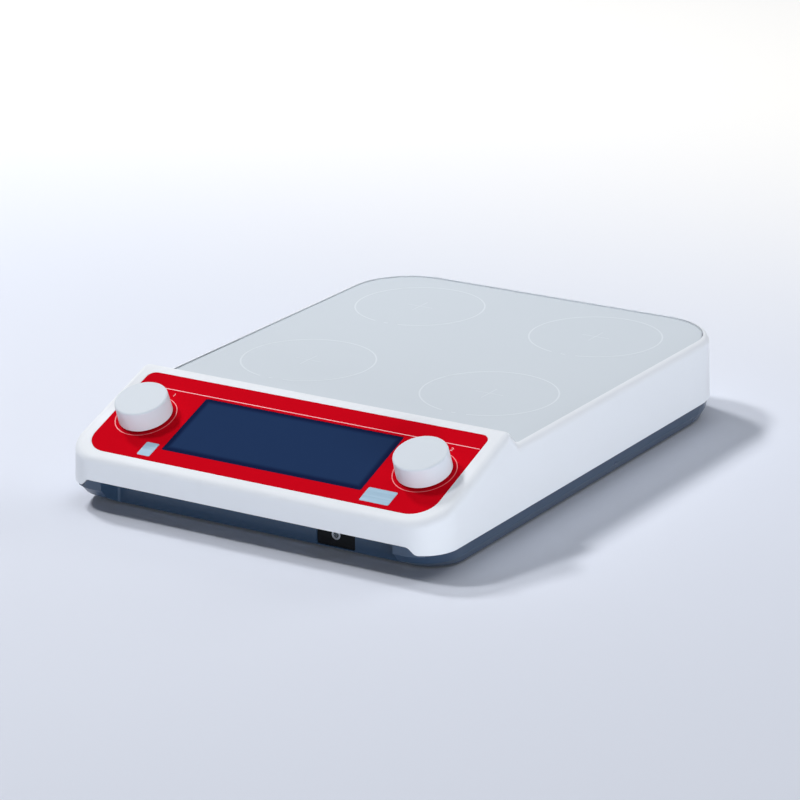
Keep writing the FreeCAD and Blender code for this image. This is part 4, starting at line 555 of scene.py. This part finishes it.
def numerals():
    """Plain number beside each knob, as thick as the ink above and below its plane."""
    for text, x in NUMERAL_PLACES.items():
        curve = bpy.data.curves.new("numeral_" + text, "FONT")
        curve.body = text
        curve.size = NUMERAL_HEIGHT
        curve.extrude = INK
        curve.align_x = "CENTER"
        curve.align_y = "CENTER"
        holder = bpy.data.objects.new("numeral_holder", curve)
        bpy.context.scene.collection.objects.link(holder)
        bpy.context.view_layer.update()
        solid = holder.evaluated_get(bpy.context.evaluated_depsgraph_get())
        mesh = bpy.data.meshes.new_from_object(solid)
        bpy.data.objects.remove(holder)
        turn = Matrix((Vector((1, 0, 0)), PANEL_UP, PANEL_OUT)).transposed().to_4x4()
        mesh.transform(Matrix.Translation(Vector(panel_point(x, NUMERAL_UP, INK))) @ turn)
        mesh.name = "numeral_" + text
        mesh.materials.clear()
        mesh.materials.append(PANEL_INK)
        piece = bpy.data.objects.new("numeral_" + text, mesh)
        bpy.context.scene.collection.objects.link(piece)
        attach(piece, "housing")


def switch_marks():
    """Plain on and off marks in the middle of the rocker's two facets, a bar above and a ring below."""
    mesh = frame["nodes"]["switch_rocker"].data
    facets = [face for face in mesh.polygons if face.normal.y > FACET_FACING and face.area > FACET_AREA]
    across = -X_AXIS
    for name, upper in (("on", True), ("off", False)):
        faces = [face for face in facets if (face.normal.z < FACET_TILT) == upper]
        corners = {index for face in faces for index in face.vertices}
        centre = np.mean([mesh.vertices[index].co for index in corners], axis=0)
        out = np.array(faces[0].normal)
        up = np.cross(out, across)
        if upper:
            mark = line_ribbon(centre - MARK_REACH * up, centre + MARK_REACH * up, across, out, MARK_LINE)
        else:
            mark = arc_ribbon(centre, across, up, MARK_REACH, 0, 2 * math.pi, MARK_LINE, closed=True)
        new_piece("switch_mark_" + name, *mark, "rocker", "rocker", SWITCH_INK)


# Surroundings

def floor():
    """Pale bench top with painted light that makes it a little whiter behind the object, that goes over into the
    backdrop far away.
    """
    mesh = bpy.data.meshes.new("bench")
    corners = [(x * FLOOR_REACH, y * FLOOR_REACH, 0) for x, y in ((-1, -1), (1, -1), (1, 1), (-1, 1))]
    mesh.from_pydata(corners, [], [(0, 1, 2, 3)])
    bench = bpy.data.objects.new("bench", mesh)
    bpy.context.scene.collection.objects.link(bench)
    finish = Finish("pale bench", tone(*NEAR_FLOOR), 0.7, Specular_IOR_Level=0.0)
    nodes, links = finish.nodes, finish.links
    parts, place = finish.place()
    # Painted light: the floor's colour goes lighter towards the back, standing in for light falling there
    depth = finish.stretched(parts["Y"], FLOOR_PAINTED_LIGHT_FADE, smooth=True)
    finish.colored(depth, tone(*NEAR_FLOOR), tone(*FAR_FLOOR_PAINTED_LIGHT))
    away = nodes.new("ShaderNodeVectorMath")
    away.operation = "LENGTH"
    links.new(place, away.inputs[0])
    fade = finish.stretched(away.outputs["Value"], BACKDROP_FADE, smooth=True)
    glow = finish.node("ShaderNodeEmission", Color=(*tone(*BACKDROP), 1.0), Strength=1.0)
    blend = nodes.new("ShaderNodeMixShader")
    links.new(math_output(nodes, links, "MULTIPLY", fade, seen_rays(nodes, links)), blend.inputs["Fac"])
    links.new(finish.shader.outputs["BSDF"], blend.inputs[1])
    links.new(glow.outputs["Emission"], blend.inputs[2])
    links.new(blend.outputs["Shader"], nodes["Material Output"].inputs["Surface"])
    mesh.materials.append(finish.material)


def sky():
    """Faint even light from all round, seen as a pale backdrop."""
    world = bpy.data.worlds.new("studio")
    world.use_nodes = True
    nodes, links = world.node_tree.nodes, world.node_tree.links
    faint = nodes["Background"]
    faint.inputs["Color"].default_value = (*SKY, 1.0)
    faint.inputs["Strength"].default_value = SKY_STRENGTH
    backdrop = nodes.new("ShaderNodeBackground")
    backdrop.inputs["Color"].default_value = (*tone(*BACKDROP), 1.0)
    blend = nodes.new("ShaderNodeMixShader")
    links.new(seen_rays(nodes, links), blend.inputs["Fac"])
    links.new(faint.outputs["Background"], blend.inputs[1])
    links.new(backdrop.outputs["Background"], blend.inputs[2])
    links.new(blend.outputs["Shader"], nodes["World Output"].inputs["Surface"])
    bpy.context.scene.world = world


def lamps():
    """Soft rectangular lamps aimed at the origin: two keys from the left, a low fill from the front right,
    a weak one from the left, and broad ones above and behind.
    """
    for name, place, width, height, power, color in LAMPS:
        lamp = bpy.data.lights.new(name, "AREA")
        lamp.shape = "RECTANGLE"
        lamp.size = width
        lamp.size_y = height
        lamp.energy = power
        lamp.color = color
        holder = bpy.data.objects.new(name, lamp)
        turn = (-Vector(place)).to_track_quat("-Z", "Y").to_matrix().to_4x4()
        holder.matrix_world = Matrix.Translation(place) @ turn
        bpy.context.scene.collection.objects.link(holder)


def camera():
    """Camera at the photograph's viewing angle."""
    yaw, pitch, roll = CAMERA_YAW, CAMERA_PITCH, CAMERA_ROLL
    forward = Vector((-math.sin(yaw) * math.cos(pitch), math.cos(yaw) * math.cos(pitch),
                      -math.sin(pitch)))
    right = Vector((math.cos(yaw), math.sin(yaw), 0))
    down = forward.cross(right)
    turned_right = math.cos(roll) * right + math.sin(roll) * down
    turned_down = math.cos(roll) * down - math.sin(roll) * right
    lens = bpy.data.cameras.new("camera")
    lens.sensor_width = CAMERA_SENSOR
    lens.lens = CAMERA_LENS
    lens.clip_end = CAMERA_REACH
    holder = bpy.data.objects.new("camera", lens)
    turn = Matrix((turned_right, -turned_down, -forward)).transposed().to_4x4()
    holder.matrix_world = Matrix.Translation(CAMERA_PLACE) @ turn
    bpy.context.scene.collection.objects.link(holder)
    bpy.context.scene.camera = holder


bpy.context.scene.view_settings.view_transform = "Standard"
camera()
sky()
lamps()
floor()
dress_nodes()
plate_print()
panel_print()
foil_labels()
numerals()
switch_marks()
